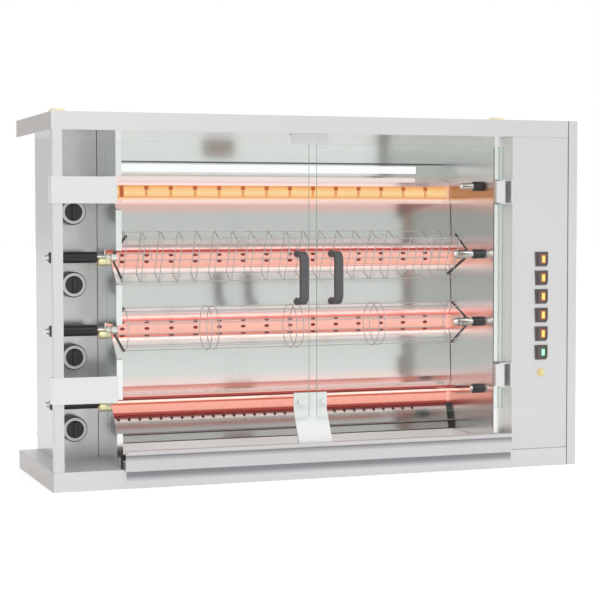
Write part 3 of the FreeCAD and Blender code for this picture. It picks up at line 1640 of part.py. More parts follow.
def make_everything():
    make_base_shell()
    make_floor_plate()
    make_lid_cover()
    make_ceiling_panel()
    make_right_side_cover()
    make_control_panel()
    make_front_left_post()
    make_knob_panel()
    make_chamber_left_wall()
    make_chamber_right_wall()
    make_back_panel()
    make_rear_reflectors()
    make_front_rail()
    make_upper_door_stop()
    make_lower_door_stop()
    make_lid_caps()
    make_burner_housings()
    make_burner_tiles()
    make_burner_feed_pipes()
    make_gas_valves()
    make_gas_manifold()
    make_burner_probes()
    make_gear_motors()
    make_motor_plate()
    make_drive_bearings()
    for row in range(1, ROWS + 1):
        make_drive_coupling(row)
    make_spit_rests()
    make_flat_basket(2)
    make_spit_ends("flat_basket_ends", 2)
    piece("flat_basket_grip", fluted_grip(2, s.shaft_diameter))
    make_round_basket(3)
    make_spit_ends("round_basket_ends", 3)
    piece("round_basket_grip", fluted_grip(3, s.shaft_diameter))
    make_spit_rod(4)
    piece("spit_rod_grip", fluted_grip(4, s.shaft_diameter))
    make_left_door()
    make_right_door()
    make_door_hinge_brackets()
    for row in range(1, ROWS + 1):
        make_gas_knob(row)
    make_switch_housings()
    for number in range(1, SWITCHES + 1):
        make_rocker(number)
    make_button()
    make_cable_gland()
    make_drip_tray()


def check_and_write():
    doc.recompute()
    for thing in doc.Objects:
        if "Invalid" in thing.State or "Error" in thing.State:
            raise RuntimeError("failed: %s %s" % (thing.Label, thing.State))
    os.makedirs("parts", exist_ok=True)
    for group in pieces:
        shape = group.Shape
        if shape.isNull() or not shape.isValid():
            raise RuntimeError("bad shape: " + group.Label)
        if len(shape.Solids) == 0:
            raise RuntimeError("no solid: " + group.Label)
        shape.exportStep("parts/%s.step" % group.Label)
    print("wrote %d pieces" % len(pieces))


make_everything()
check_and_write()
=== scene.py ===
import math

import bmesh
import bpy
from mathutils import Matrix, Vector


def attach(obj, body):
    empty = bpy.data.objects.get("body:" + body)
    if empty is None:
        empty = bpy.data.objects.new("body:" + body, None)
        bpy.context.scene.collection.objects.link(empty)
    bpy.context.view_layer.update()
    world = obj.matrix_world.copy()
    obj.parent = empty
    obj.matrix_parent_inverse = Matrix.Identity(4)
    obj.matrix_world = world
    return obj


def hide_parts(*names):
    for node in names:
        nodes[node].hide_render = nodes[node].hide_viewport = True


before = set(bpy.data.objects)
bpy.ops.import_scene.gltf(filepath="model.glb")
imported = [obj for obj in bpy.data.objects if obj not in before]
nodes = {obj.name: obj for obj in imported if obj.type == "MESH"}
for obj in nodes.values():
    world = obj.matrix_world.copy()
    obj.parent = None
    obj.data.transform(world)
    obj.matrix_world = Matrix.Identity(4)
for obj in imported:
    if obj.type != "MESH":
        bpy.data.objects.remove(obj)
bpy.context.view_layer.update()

# Every place below is in metres in the frame of the machine: x to the right, y to the back,
# z up, with the origin under the middle of the base. Rows are counted from the top.

ROWS = (1, 2, 3, 4)

SPIT_Y = -0.055
FLAT_BASKET_Z = 0.540
ROUND_BASKET_Z = 0.364

BURNER_Z = {1: 0.705, 2: 0.529, 3: 0.353, 4: 0.154}
TILES_IN_ROW = 15
TILE_FACE = 0.130
TILE_PITCH = 0.0645
TILE_HALF_HEIGHT = 0.019
TILE_START = 1.153 - TILES_IN_ROW * TILE_PITCH - 0.680

KNOB_X = -0.586
KNOB_FACE = -0.0198
KNOB_Z = {1: 0.649, 2: 0.473, 3: 0.297, 4: 0.121}

SWITCHES = 6
SWITCH_X = 0.578
SWITCH_FACE = -0.213
SWITCH_PITCH = 0.0475
LOWEST_SWITCH_Z = 0.2915


# Steps that the materials share; tree is the node tree they work on

def equal(value):
    """The same number three times: a grey, or a grain without direction."""
    return (value, value, value)


def shaded(color, factor):
    return tuple(min(1, part * factor) for part in color)


def surface_of(material):
    return material.node_tree.nodes["Principled BSDF"]


def new_material(name):
    material = bpy.data.materials.new(name)
    material.use_nodes = True
    return material, material.node_tree, surface_of(material)


def feed(tree, socket, value):
    """Gives a socket a number, a colour, or the output of another node."""
    if isinstance(value, (int, float)):
        socket.default_value = value
    elif isinstance(value, tuple):
        socket.default_value = value + (1,)
    else:
        tree.links.new(value, socket)


def feed_all(tree, node, values):
    for name, value in values.items():
        feed(tree, node.inputs[name], value)


def calculate(tree, operation, first, second=0.5):
    step = tree.nodes.new("ShaderNodeMath")
    step.operation = operation
    feed(tree, step.inputs[0], first)
    feed(tree, step.inputs[1], second)
    return step.outputs["Value"]


def above(tree, value, limit):
    """One where the value is above the limit, and nothing elsewhere."""
    return calculate(tree, "GREATER_THAN", value, limit)


def coordinate(tree, axis, space="Object"):
    place = tree.nodes.new("ShaderNodeTexCoord")
    parts = tree.nodes.new("ShaderNodeSeparateXYZ")
    tree.links.new(place.outputs[space], parts.inputs["Vector"])
    return parts.outputs[axis]


def facing(tree, axis, sign):
    """One on faces that look along an axis, and nothing elsewhere."""
    return above(tree, calculate(tree, "MULTIPLY", coordinate(tree, axis, "Normal"), sign), 0.6)


def grain(tree, stretch, detail=4.0):
    """Noise with its own scale along each axis, like the marks of a brush."""
    place = tree.nodes.new("ShaderNodeTexCoord")
    mapping = tree.nodes.new("ShaderNodeMapping")
    mapping.inputs["Scale"].default_value = stretch
    noise = tree.nodes.new("ShaderNodeTexNoise")
    noise.inputs["Scale"].default_value = 1.0
    noise.inputs["Detail"].default_value = detail
    tree.links.new(place.outputs["Object"], mapping.inputs["Vector"])
    tree.links.new(mapping.outputs["Vector"], noise.inputs["Vector"])
    return noise.outputs["Fac"]


def spread(tree, value, low, high):
    """Turns a share of 0 to 1 into a number from low to high."""
    remap = tree.nodes.new("ShaderNodeMapRange")
    feed_all(tree, remap, {"To Min": low, "To Max": high, "Value": value})
    return remap.outputs["Result"]


def share_between(tree, value, low, high):
    """Turns a number from low to high into a share of 0 to 1."""
    remap = tree.nodes.new("ShaderNodeMapRange")
    feed_all(tree, remap, {"From Min": low, "From Max": high, "Value": value})
    return remap.outputs["Result"]


def add_bump(tree, surface, value, strength, distance):
    bump = tree.nodes.new("ShaderNodeBump")
    feed_all(tree, bump, {"Strength": strength, "Distance": distance, "Height": value})
    tree.links.new(bump.outputs["Normal"], surface.inputs["Normal"])


def blend(tree, share, first, second, kind="MIX"):
    mix = tree.nodes.new("ShaderNodeMix")
    mix.data_type = "RGBA"
    mix.blend_type = kind
    feed_all(tree, mix, {"Factor": share, "A": first, "B": second})
    return mix.outputs["Result"]


def color_ramp(tree, share, stops):
    """A colour that changes with a share; the stops are (share, colour), at most 32 of them."""
    ramp = tree.nodes.new("ShaderNodeValToRGB")
    elements = ramp.color_ramp.elements
    for number, (position, tint) in enumerate(stops):
        if number < 2:
            stop = elements[number]
            stop.position = position
        else:
            stop = elements.new(position)
        stop.color = tint + (1,)
    tree.links.new(share, ramp.inputs["Fac"])
    return ramp.outputs["Color"]


def height_ramp(tree, low, high, stops):
    """A colour that changes with height; the stops are (height, colour)."""
    share = share_between(tree, coordinate(tree, "Z"), low, high)
    shares = [((height - low) / (high - low), tint) for height, tint in stops]
    return color_ramp(tree, share, shares)


def strength_ramp(tree, low, high, stops):
    """A number that changes with height; the stops are (height, number)."""
    return height_ramp(tree, low, high, [(height, equal(number)) for height, number in stops])


# Kinds of material

GRAIN_ACROSS = (6.0, 900.0, 900.0)
GRAIN_UP = (900.0, 900.0, 6.0)
GRAIN_TO_BACK = (500.0, 8.0, 500.0)
SHEET_GRAIN = (8.0, 500.0, 500.0)
HEM_GRAIN = (20.0, 500.0, 500.0)
ROD_GRAIN = (20.0, 700.0, 700.0)
FINE_GRAIN = equal(300.0)
# Painted shade and painted light: colours painted on the faces that look to the left, darker for
# most of the casing and paler for the control column.
SHADED_SIDE = (0.56, 0.54, 0.53)
PAINTED_LIGHT_SIDE = (0.90, 0.89, 0.885)


def steel(name, color, rough, stretch, vary=0.05, bump=0.08, metallic=1.0, left=None):
    """Brushed metal. Its roughness varies by vary to both sides of rough; left, if given, is the
    colour painted on the faces that look to the left: painted shade where it is darker than the
    metal, painted light where it is paler."""
    material, tree, surface = new_material(name)
    fine = grain(tree, stretch)
    broad = grain(tree, equal(3.0), 2.0)
    tint = color_ramp(tree, broad, [(0.0, shaded(color, 0.95)), (1.0, shaded(color, 1.04))])
    if left:
        tint = blend(tree, facing(tree, "X", -1), tint, left)
    feed_all(tree, surface, {"Metallic": metallic, "Base Color": tint,
                             "Roughness": spread(tree, fine, rough - vary, rough + vary)})
    add_bump(tree, surface, fine, bump, 0.0002)
    return material


def plastic(name, color, rough):
    material, tree, surface = new_material(name)
    fine = grain(tree, equal(900.0), 2.0)
    broad = grain(tree, equal(30.0), 2.0)
    tint = color_ramp(tree, broad, [(0.0, shaded(color, 0.85)), (1.0, shaded(color, 1.15))])
    feed_all(tree, surface, {"Base Color": tint,
                             "Roughness": spread(tree, fine, rough - 0.05, rough + 0.08)})
    add_bump(tree, surface, fine, 0.15, 0.0001)
    return material


def lamp_plastic(name, color, strength):
    """A lit plastic lens, brighter in the middle than at its rim."""
    material, tree, surface = new_material(name)
    rim = tree.nodes.new("ShaderNodeLayerWeight")
    rim.inputs["Blend"].default_value = 0.35
    shine = spread(tree, rim.outputs["Facing"], strength, strength * 0.5)
    feed_all(tree, surface, {"Base Color": color, "Roughness": 0.25, "Emission Color": color,
                             "Emission Strength": shine})
    return material


def glow(name, color, strength):
    """Small hot marks that shine by themselves."""
    material, tree, surface = new_material(name)
    mottle = grain(tree, equal(200.0), 2.0)
    shine = spread(tree, mottle, strength * 0.8, strength * 1.2)
    feed_all(tree, surface, {"Base Color": shaded(color, 0.25), "Roughness": 0.8,
                             "Emission Color": color, "Emission Strength": shine})
    return material


def plain_shader(tree, kind, color):
    shader = tree.nodes.new(kind)
    feed(tree, shader.inputs["Color"], color)
    return shader.outputs["BSDF"]


def mix_shaders(tree, share, first, second):
    mix = tree.nodes.new("ShaderNodeMixShader")
    for socket, value in zip(mix.inputs, (share, first, second)):
        tree.links.new(value, socket)
    return mix.outputs["Shader"]


def door_glass():
    """Clear tempered glass with green edges. The broad faces reflect a little, and only from
    their outside, so that an opened door doesn't turn into a mirror."""
    material, tree, surface = new_material("door_glass")
    tree.nodes.remove(surface)
    clear = plain_shader(tree, "ShaderNodeBsdfTransparent", (0.985, 0.996, 0.990))
    shine = tree.nodes.new("ShaderNodeBsdfGlossy")
    shine.inputs["Roughness"].default_value = 0.02
    fresnel = tree.nodes.new("ShaderNodeFresnel")
    fresnel.inputs["IOR"].default_value = 1.38
    side = tree.nodes.new("ShaderNodeNewGeometry")
    outside = calculate(tree, "SUBTRACT", 1.0, side.outputs["Backfacing"])
    share = calculate(tree, "MULTIPLY", fresnel.outputs["Fac"], outside)
    face = mix_shaders(tree, share, clear, shine.outputs["BSDF"])
    edge_clear = plain_shader(tree, "ShaderNodeBsdfTransparent", (0.62, 0.82, 0.74))
    edge_body = plain_shader(tree, "ShaderNodeBsdfDiffuse", (0.38, 0.68, 0.56))
    speckle = grain(tree, equal(60.0), 2.0)
    edge = mix_shaders(tree, spread(tree, speckle, 0.35, 0.65), edge_clear, edge_body)
    broad = above(tree, calculate(tree, "ABSOLUTE", coordinate(tree, "Y", "Normal")), 0.5)
    whole = mix_shaders(tree, broad, edge, face)
    tree.links.new(whole, tree.nodes["Material Output"].inputs["Surface"])
    return material


def glowing_tiles():
    """Hot ceramic: each row has its own bands of colour from its lower to its upper edge."""
    material, tree, surface = new_material("glowing_tiles")
    bands = {
        4: [(0.0, (0.22, 0.02, 0.01)), (0.06, (0.30, 0.03, 0.02)), (0.14, (0.93, 0.36, 0.28)),
            (0.50, (0.97, 0.40, 0.31)), (0.60, (0.97, 0.42, 0.33)), (0.64, (0.66, 0.11, 0.06)),
            (0.72, (0.66, 0.11, 0.06)), (0.78, (1.0, 0.62, 0.55))],
        3: [(0.0, (0.80, 0.24, 0.16)), (0.10, (0.84, 0.22, 0.14)), (0.18, (0.97, 0.45, 0.36)),
            (0.60, (0.98, 0.52, 0.44)), (0.90, (0.97, 0.44, 0.36)), (1.0, (0.80, 0.14, 0.09))],
        2: [(0.0, (0.84, 0.30, 0.25)), (0.12, (0.97, 0.47, 0.38)), (0.40, (0.97, 0.45, 0.36)),
            (0.80, (0.97, 0.50, 0.42)), (0.95, (0.90, 0.34, 0.26)), (1.0, (0.55, 0.05, 0.04))],
        1: [(0.0, (0.74, 0.32, 0.11)), (0.05, (0.84, 0.38, 0.13)), (0.13, (0.97, 0.58, 0.25)),
            (0.36, (1.0, 0.68, 0.33)), (0.62, (0.97, 0.54, 0.20)), (0.82, (0.88, 0.34, 0.11))],
    }
    height = coordinate(tree, "Z")
    color = None
    for row, stops in bands.items():
        low = BURNER_Z[row] - TILE_HALF_HEIGHT
        share = share_between(tree, height, low, low + 2 * TILE_HALF_HEIGHT)
        own = color_ramp(tree, share, stops)
        between_rows = low - 0.05
        if color is None:
            color = own
        else:
            color = blend(tree, above(tree, height, between_rows), color, own)
    mottle = grain(tree, equal(90.0), 3.0)
    feed_all(tree, surface, {"Base Color": (0.10, 0.05, 0.04), "Roughness": 0.9,
                             "Emission Color": color,
                             "Emission Strength": spread(tree, mottle, 0.86, 1.02)})
    return material


def shade_front(material, low, high, stops, first, last):
    """Darkens the faces that look to the front by height, between two places across."""
    tree = material.node_tree
    color = surface_of(material).inputs["Base Color"]
    plain = color.links[0].from_socket
    dark = blend(tree, 1.0, plain, height_ramp(tree, low, high, stops), "MULTIPLY")
    front = blend(tree, facing(tree, "Y", -1), plain, dark)
    place = coordinate(tree, "X")
    begun = blend(tree, above(tree, place, first), plain, front)
    tree.links.new(blend(tree, above(tree, place, last), begun, plain), color)


def base_steel():
    """Satin sheet with a soft shadow below the front of the tray."""
    material = steel("satin_base_steel", (0.70, 0.70, 0.705), 0.42, GRAIN_ACROSS, 0.04, 0.06, 0.6,
                     SHADED_SIDE)
    shade_front(material, 0.0, 0.046, [
        (0.016, equal(1.0)), (0.030, (0.46, 0.455, 0.49)), (0.0405, (0.42, 0.415, 0.45)),
        (0.0440, equal(1.0))], -0.507, 0.494)
    return material


def tray_steel():
    """The tray front is satin, with a painted soft shadow under its lip; the inside is painted
    paler, with a faint painted glow.
    """
    material = steel("satin_tray_steel", (0.66, 0.655, 0.66), 0.42, GRAIN_ACROSS, 0.04, 0.06, 0.5,
                     SHADED_SIDE)
    lip_shadow = (0.40, 0.39, 0.41)
    shade_front(material, 0.040, 0.092, [
        (0.066, equal(1.0)), (0.0790, lip_shadow), (0.0800, lip_shadow), (0.0806, equal(1.0))],
        -0.600, 0.600)
    tree = material.node_tree
    surface = surface_of(material)
    front = surface.inputs["Base Color"].links[0].from_socket
    # Painted light: the inside of the tray is paler and glows faintly.
    inside = above(tree, coordinate(tree, "Y"), -0.200)
    feed_all(tree, surface, {"Base Color": blend(tree, inside, front, (0.82, 0.81, 0.81)),
                             "Emission Color": (1.0, 0.99, 0.98),
                             "Emission Strength": spread(tree, inside, 0.0, 0.10)})
    return material


def wall_steel(name):
    return steel(name, (0.78, 0.785, 0.775), 0.20, GRAIN_TO_BACK, 0.03, 0.03)


def right_wall_steel():
    """The wall at the burners' right end, with a painted reflection of the top burner: a brownish
    band at that burner's height on its left-facing faces.
    """
    material = wall_steel("bright_right_wall_steel")
    tree = material.node_tree
    color = surface_of(material).inputs["Base Color"]
    plain = color.links[0].from_socket
    # Painted reflection of the top burner on the polished wall.
    reflection_tint = (0.60, 0.40, 0.34)
    burner_reflection_band = height_ramp(tree, 0.660, 0.760, [
        (0.680, equal(1.0)), (0.688, reflection_tint), (0.718, reflection_tint), (0.726, equal(1.0))])
    dull = blend(tree, 1.0, plain, burner_reflection_band, "MULTIPLY")
    tree.links.new(blend(tree, facing(tree, "X", -1), plain, dull), color)
    return material


def sheet_painted_glow():
    """Polished sheet with the burners' light painted on: painted rosy reflections near each burner,
    strongest where the sheet is bent towards one, darker bands between them, and a painted glow in
    the same bands.
    """
    material, tree, surface = new_material("sheet_painted_glow")
    plain = (0.65, 0.65, 0.638)
    soft = (0.55, 0.55, 0.54)
    dull = (0.42, 0.42, 0.41)
    rosy = (0.86, 0.64, 0.62)
    pale = (0.98, 0.80, 0.76)
    pink = (0.88, 0.36, 0.33)
    deep = (0.34, 0.035, 0.03)
    greyish_rose = (0.80, 0.70, 0.67)
    edge = (0.44, 0.22, 0.21)
    hem = (0.74, 0.43, 0.40)
    dash = (0.78, 0.55, 0.52)
    flush = (0.80, 0.46, 0.44)
    low, high = 0.060, 0.760
    tint = height_ramp(tree, low, high, [
        (0.1100, dull), (0.1172, dull), (0.1182, dash), (0.1235, dash), (0.1250, deep),
        (0.133, deep), (0.1760, deep), (0.1790, deep), (0.1802, greyish_rose), (0.1915, greyish_rose),
        (0.1925, edge), (0.1945, hem), (0.2045, hem), (0.2062, edge), (0.2080, rosy),
        (0.235, plain), (0.296, plain), (0.330, pale), (0.376, pink), (0.390, rosy),
        (0.412, plain), (0.470, plain), (0.506, pale), (0.5490, deep), (0.5515, deep),
        (0.5530, rosy), (0.590, soft), (0.640, soft), (0.670, flush), (0.675, pale),
        (0.683, pale), (0.730, rosy)])
    # Painted glow: the sheet shines by itself in the bands of painted reflection.
    own = strength_ramp(tree, low, high, [
        (0.112, 0.0), (0.118, 0.28), (0.1235, 0.28), (0.125, 0.10), (0.133, 0.14), (0.176, 0.15),
        (0.179, 0.15), (0.181, 0.48), (0.191, 0.40), (0.193, 0.10), (0.300, 0.0), (0.319, 0.10),
        (0.321, 0.60), (0.331, 0.80), (0.375, 0.60), (0.390, 0.45), (0.392, 0.05), (0.480, 0.0),
        (0.495, 0.10), (0.497, 0.60), (0.507, 0.50), (0.551, 0.42), (0.554, 0.14), (0.568, 0.05),
        (0.660, 0.02), (0.671, 0.10), (0.673, 0.65), (0.683, 0.50), (0.718, 0.30), (0.728, 0.05)])
    fine = grain(tree, SHEET_GRAIN)
    feed_all(tree, surface, {"Metallic": 0.92, "Roughness": spread(tree, fine, 0.10, 0.17),
                             "Base Color": tint, "Emission Color": tint,
                             "Emission Strength": own})
    add_bump(tree, surface, fine, 0.05, 0.0002)
    return material


def frame_painted_glow():
    """The steel frames of the burners, with painted glow: each row has its own bands of reflected
    burner colour round its tiles, and these bands shine by themselves as painted light.
    """
    material, tree, surface = new_material("frame_painted_glow")
    red = (0.40, 0.03, 0.02)
    orange = (0.66, 0.14, 0.11)
    flesh = (0.90, 0.45, 0.38)
    apricot = (0.95, 0.55, 0.40)
    tint = height_ramp(tree, 0.100, 0.740, [
        (0.131, red), (0.136, red), (0.138, flesh), (0.171, flesh), (0.1725, red), (0.200, red),
        (0.300, orange), (0.3345, orange), (0.337, flesh), (0.370, flesh), (0.3715, orange),
        (0.450, flesh), (0.547, flesh), (0.5475, red), (0.600, red), (0.650, (0.95, 0.60, 0.45)),
        (0.687, (0.80, 0.46, 0.28)), (0.690, apricot), (0.720, apricot)])
    fine = grain(tree, equal(60.0), 3.0)
    # Painted glow: the frames shine by themselves in these bands.
    feed_all(tree, surface, {"Metallic": 0.6, "Roughness": 0.4, "Base Color": tint,
                             "Emission Color": tint,
                             "Emission Strength": spread(tree, fine, 0.45, 0.65)})
    return material


SPIT_COLOR = (0.74, 0.70, 0.67)


def rod_painted_glow():
    """The plain rod, with the lowest burner's light painted on inside the chamber: a painted
    rosy-white reflection below, a dark band along its upper edge, and a painted glow; outside the
    chamber it is plain spit steel.
    """
    material, tree, surface = new_material("rod_painted_glow")
    rosy = (1.0, 0.62, 0.54)
    dark = (0.17, 0.016, 0.012)
    deep_red_reflection = (0.52, 0.085, 0.045)
    low, high = 0.174, 0.202
    tint = height_ramp(tree, low, high, [
        (0.176, SPIT_COLOR), (0.1815, deep_red_reflection), (0.1842, deep_red_reflection), (0.1852, rosy), (0.1905, rosy),
        (0.1915, dark), (0.1960, dark), (0.1975, SPIT_COLOR)])
    # Painted glow of the burner's light on the rod, inside the chamber only.
    own = strength_ramp(tree, low, high, [
        (0.178, 0.0), (0.1815, 0.60), (0.1905, 0.45), (0.1915, 0.45), (0.1960, 0.35),
        (0.1975, 0.0)])
    chamber_start = -0.500
    inside = above(tree, coordinate(tree, "X"), chamber_start)
    fine = grain(tree, ROD_GRAIN)
    feed_all(tree, surface, {"Metallic": 0.9, "Roughness": spread(tree, fine, 0.12, 0.20),
                             "Base Color": blend(tree, inside, SPIT_COLOR, tint),
                             "Emission Color": tint,
                             "Emission Strength": blend(tree, inside, equal(0.0), own)})
    return material


# The materials of this machine

CASING = steel("satin_casing_steel", (0.69, 0.69, 0.695), 0.42, GRAIN_ACROSS, 0.04, 0.06, 0.6,
               SHADED_SIDE)
BASE = base_steel()
COLUMN = steel("satin_column_steel", (0.68, 0.68, 0.685), 0.42, GRAIN_UP, 0.04, 0.06, 0.6,
               PAINTED_LIGHT_SIDE)
TRAY = tray_steel()
UPRIGHT = steel("satin_upright_steel", (0.68, 0.68, 0.685), 0.42, GRAIN_UP, 0.04, 0.06, 0.6)
BAY = steel("polished_bay_steel", (0.52, 0.52, 0.52), 0.22, (700.0, 700.0, 8.0), 0.03, 0.04, 0.9)
CHAMBER = steel("bright_chamber_steel", (0.73, 0.74, 0.725), 0.14, SHEET_GRAIN, 0.04, 0.05)
LEFT_WALL = wall_steel("bright_wall_steel")
RIGHT_WALL = right_wall_steel()
STOP = steel("bright_stop_steel", (0.985, 0.99, 0.985), 0.5, FINE_GRAIN, 0.04, 0.05, 0.0)
# Dark strips that stand for painted shade in gaps and under sheet edges.
SHADE_STRIP = steel("painted_shade_strip_steel", (0.17, 0.17, 0.17), 0.4, HEM_GRAIN)
# The tray's back hem is coloured dark brown as painted shade.
TRAY_HEM_SHADE = steel("tray_hem_painted_shade", (0.34, 0.29, 0.28), 0.4, HEM_GRAIN, 0.05, 0.05, 0.6)
STRAP = steel("dark_strap_steel", (0.060, 0.066, 0.066), 0.35, FINE_GRAIN, 0.05, 0.05, 0.8)
INNER = steel("inner_steel", (0.62, 0.62, 0.61), 0.3, equal(400.0))
RAIL = steel("shaded_rail_steel", (0.10, 0.10, 0.10), 0.4, HEM_GRAIN)
CLAMP = steel("bright_clamp_steel", (0.74, 0.745, 0.74), 0.35, FINE_GRAIN, 0.04, 0.05, 0.7)
RING = steel("knob_ring_metal", (0.60, 0.60, 0.59), 0.38, FINE_GRAIN, 0.05, 0.05, 0.6)
SPIT_STEEL = steel("spit_steel", SPIT_COLOR, 0.16, ROD_GRAIN)
WIRE = steel("wire_steel", (0.60, 0.605, 0.61), 0.34, FINE_GRAIN, 0.05, 0.05, 0.75)
BRASS = steel("brass", (0.83, 0.66, 0.30), 0.24, FINE_GRAIN)
PALE_BRASS = steel("pale_brass", (0.93, 0.86, 0.52), 0.30, FINE_GRAIN, 0.05, 0.06, 0.85)
CAP_BRASS = steel("cap_brass", (0.96, 0.91, 0.66), 0.34, FINE_GRAIN, 0.05, 0.06, 0.7)
COPPER = steel("copper", (0.78, 0.42, 0.28), 0.28, FINE_GRAIN)
MOTOR = steel("motor_aluminium", (0.58, 0.59, 0.60), 0.42, equal(200.0))
BLACK = plastic("black_plastic", (0.022, 0.022, 0.023), 0.36)
BEZEL = plastic("switch_frame", (0.120, 0.098, 0.092), 0.42)
HANDLE = plastic("grey_pull", (0.095, 0.095, 0.10), 0.5)
BUTTON = plastic("brass_button", (0.93, 0.80, 0.42), 0.25)
GLASS = door_glass()
TILES = glowing_tiles()
# Reflectors, burner frames and the plain rod have the burners' light painted on as reflection and
# glow.
GLOW_PAINTED_SHEET = sheet_painted_glow()
GLOW_PAINTED_FRAME = frame_painted_glow()
GLOW_PAINTED_ROD = rod_painted_glow()
NUB = glow("burner_nub", (0.46, 0.10, 0.03), 0.95)
STEM = glow("burner_stem", (0.74, 0.31, 0.10), 0.95)
DOT = glow("burner_dot", (0.21, 0.016, 0.012), 0.9)
WINDOW_ORANGE = lamp_plastic("orange_window", (1.0, 0.50, 0.14), 1.0)
WINDOW_GREEN = lamp_plastic("green_window", (0.35, 0.95, 0.50), 1.0)
RIM_ORANGE = lamp_plastic("orange_rim", (0.42, 0.15, 0.04), 0.8)
RIM_GREEN = lamp_plastic("green_rim", (0.02, 0.16, 0.05), 0.8)

FINISH = {
    "base_shell": BASE, "floor_plate": CASING, "lid_cover": CASING, "lid_caps": CAP_BRASS,
    "right_side_cover": UPRIGHT, "control_panel": COLUMN, "front_left_post": UPRIGHT,
    "knob_panel": BAY, "chamber_left_wall": LEFT_WALL, "chamber_right_wall": RIGHT_WALL,
    "back_panel": CHAMBER, "ceiling_panel": CHAMBER, "rear_reflectors": GLOW_PAINTED_SHEET,
    "burner_housings": GLOW_PAINTED_FRAME, "burner_tiles": TILES, "burner_feed_pipes": COPPER,
    "burner_probes": INNER, "gas_valves": BRASS, "gas_manifold": INNER,
    "gear_motors": MOTOR, "motor_plate": INNER, "drive_bearings": BLACK, "spit_rests": PALE_BRASS,
    "upper_door_stop": STOP, "lower_door_stop": STOP, "front_rail": RAIL,
    "door_hinge_brackets": CLAMP, "left_door_glass": GLASS, "right_door_glass": GLASS,
    "left_door_clamps": CLAMP, "right_door_clamps": CLAMP,
    "left_door_handle": HANDLE, "right_door_handle": HANDLE,
    "switch_housings": BEZEL, "button_bezel": BRASS, "push_button": BUTTON, "cable_gland": BLACK,
    "drip_tray": TRAY, "flat_basket": WIRE, "round_basket": WIRE, "spit_rod": GLOW_PAINTED_ROD,
    "flat_basket_ends": SPIT_STEEL, "round_basket_ends": SPIT_STEEL,
    "flat_basket_grip": BLACK, "round_basket_grip": BLACK, "spit_rod_grip": BLACK,
}
for row in ROWS:
    FINISH["drive_coupling_%d" % row] = SPIT_STEEL
    FINISH["gas_knob_%d" % row] = BLACK
for number in range(1, SWITCHES + 1):
    FINISH["rocker_%d" % number] = BEZEL

for name, thing in nodes.items():
    thing.data.materials.clear()
    thing.data.materials.append(FINISH[name])


# Building new pieces

def finish_piece(piece, material, body):
    piece.data.materials.append(material)
    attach(piece, body)
    return piece


def mesh_object(name, mesh_maker):
    built = bmesh.new()
    mesh_maker(built)
    bmesh.ops.recalc_face_normals(built, faces=built.faces)
    mesh = bpy.data.meshes.new(name)
    built.to_mesh(mesh)
    built.free()
    thing = bpy.data.objects.new(name, mesh)
    bpy.context.scene.collection.objects.link(thing)
    return thing


Z_TO_Y = Matrix.Rotation(math.radians(-90), 4, "X")


def lathe_into(built, profile, centre, segments, closed=False):
    """Adds the solid that the profile (radius, y) makes when it turns about the y axis.

    A closed profile comes back to its first point; an open one gets a flat face at both ends.
    """
    rings = []
    for radius, height in profile:
        ring = []
        for step in range(segments):
            angle = 2 * math.pi * step / segments
            place = Z_TO_Y @ Vector((radius * math.cos(angle), radius * math.sin(angle), height))
            ring.append(built.verts.new(Vector(centre) + place))
        rings.append(ring)
    pairs = list(zip(rings, rings[1:]))
    if closed:
        pairs.append((rings[-1], rings[0]))
    for low, high in pairs:
        for step in range(segments):
            following = (step + 1) % segments
            built.faces.new((low[step], low[following], high[following], high[step]))
    if not closed:
        built.faces.new(rings[0])
        built.faces.new(rings[-1])


def six_sided_into(built, corners):
    """Adds the solid between one quad and another; corners 4 to 7 lie opposite 0 to 3."""
    points = [built.verts.new(corner) for corner in corners]
    quads = [(0, 1, 2, 3), (7, 6, 5, 4), (0, 4, 5, 1), (1, 5, 6, 2), (2, 6, 7, 3), (3, 7, 4, 0)]
    for quad in quads:
        built.faces.new([points[number] for number in quad])


def block_into(built, low, high, bevel, turn=None):
    """Adds a box between two corners, with softened edges, and turns it afterwards."""
    made = bmesh.ops.create_cube(built, size=1.0)
    low = Vector(low)
    high = Vector(high)
    for vertex in made["verts"]:
        vertex.co = Vector([(a + b) / 2 + c * (b - a) for a, b, c in zip(low, high, vertex.co)])
    if bevel > 0:
        edges = list({edge for vertex in made["verts"] for edge in vertex.link_edges})
        made = bmesh.ops.bevel(built, geom=edges, offset=bevel, segments=2, affect="EDGES",
                               profile=0.5)
    if turn is not None:
        for vertex in made["verts"]:
            vertex.co = turn @ vertex.co


def blocks(name, boxes, bevel, material, body, turn=None):
    def make(built):
        for low, high in boxes:
            block_into(built, low, high, bevel, turn)
    return finish_piece(mesh_object(name, make), material, body)


# Baskets

BASKET_START = -0.475
BASKET_END = 0.405
WIRE_RADIUS = 0.0011

FLAT_TILT = math.radians(25)
FLAT_HALF_Y = 0.025
FLAT_HALF_Z = 0.060
FLAT_CORNER = 0.005
CROSS_WIRES = 20

RING_RADIUS = 0.0545
RING_STEPS = 40
BAR_CIRCLE = 0.0517
BARS = 10

STRAP_GAUGE = 0.006
STRAP_WIDTH = 0.0065
LEFT_HUB = (-0.500, 0.009)
RIGHT_HUB = (0.442, 0.009)


def in_flat_basket(x, y, z):
    """A place in the tilted flat basket, with y and z measured from its spit."""
    return (x, SPIT_Y + y * math.cos(FLAT_TILT) - z * math.sin(FLAT_TILT),
            FLAT_BASKET_Z + y * math.sin(FLAT_TILT) + z * math.cos(FLAT_TILT))


def in_round_basket(x, y, z):
    return (x, SPIT_Y + y, ROUND_BASKET_Z + z)


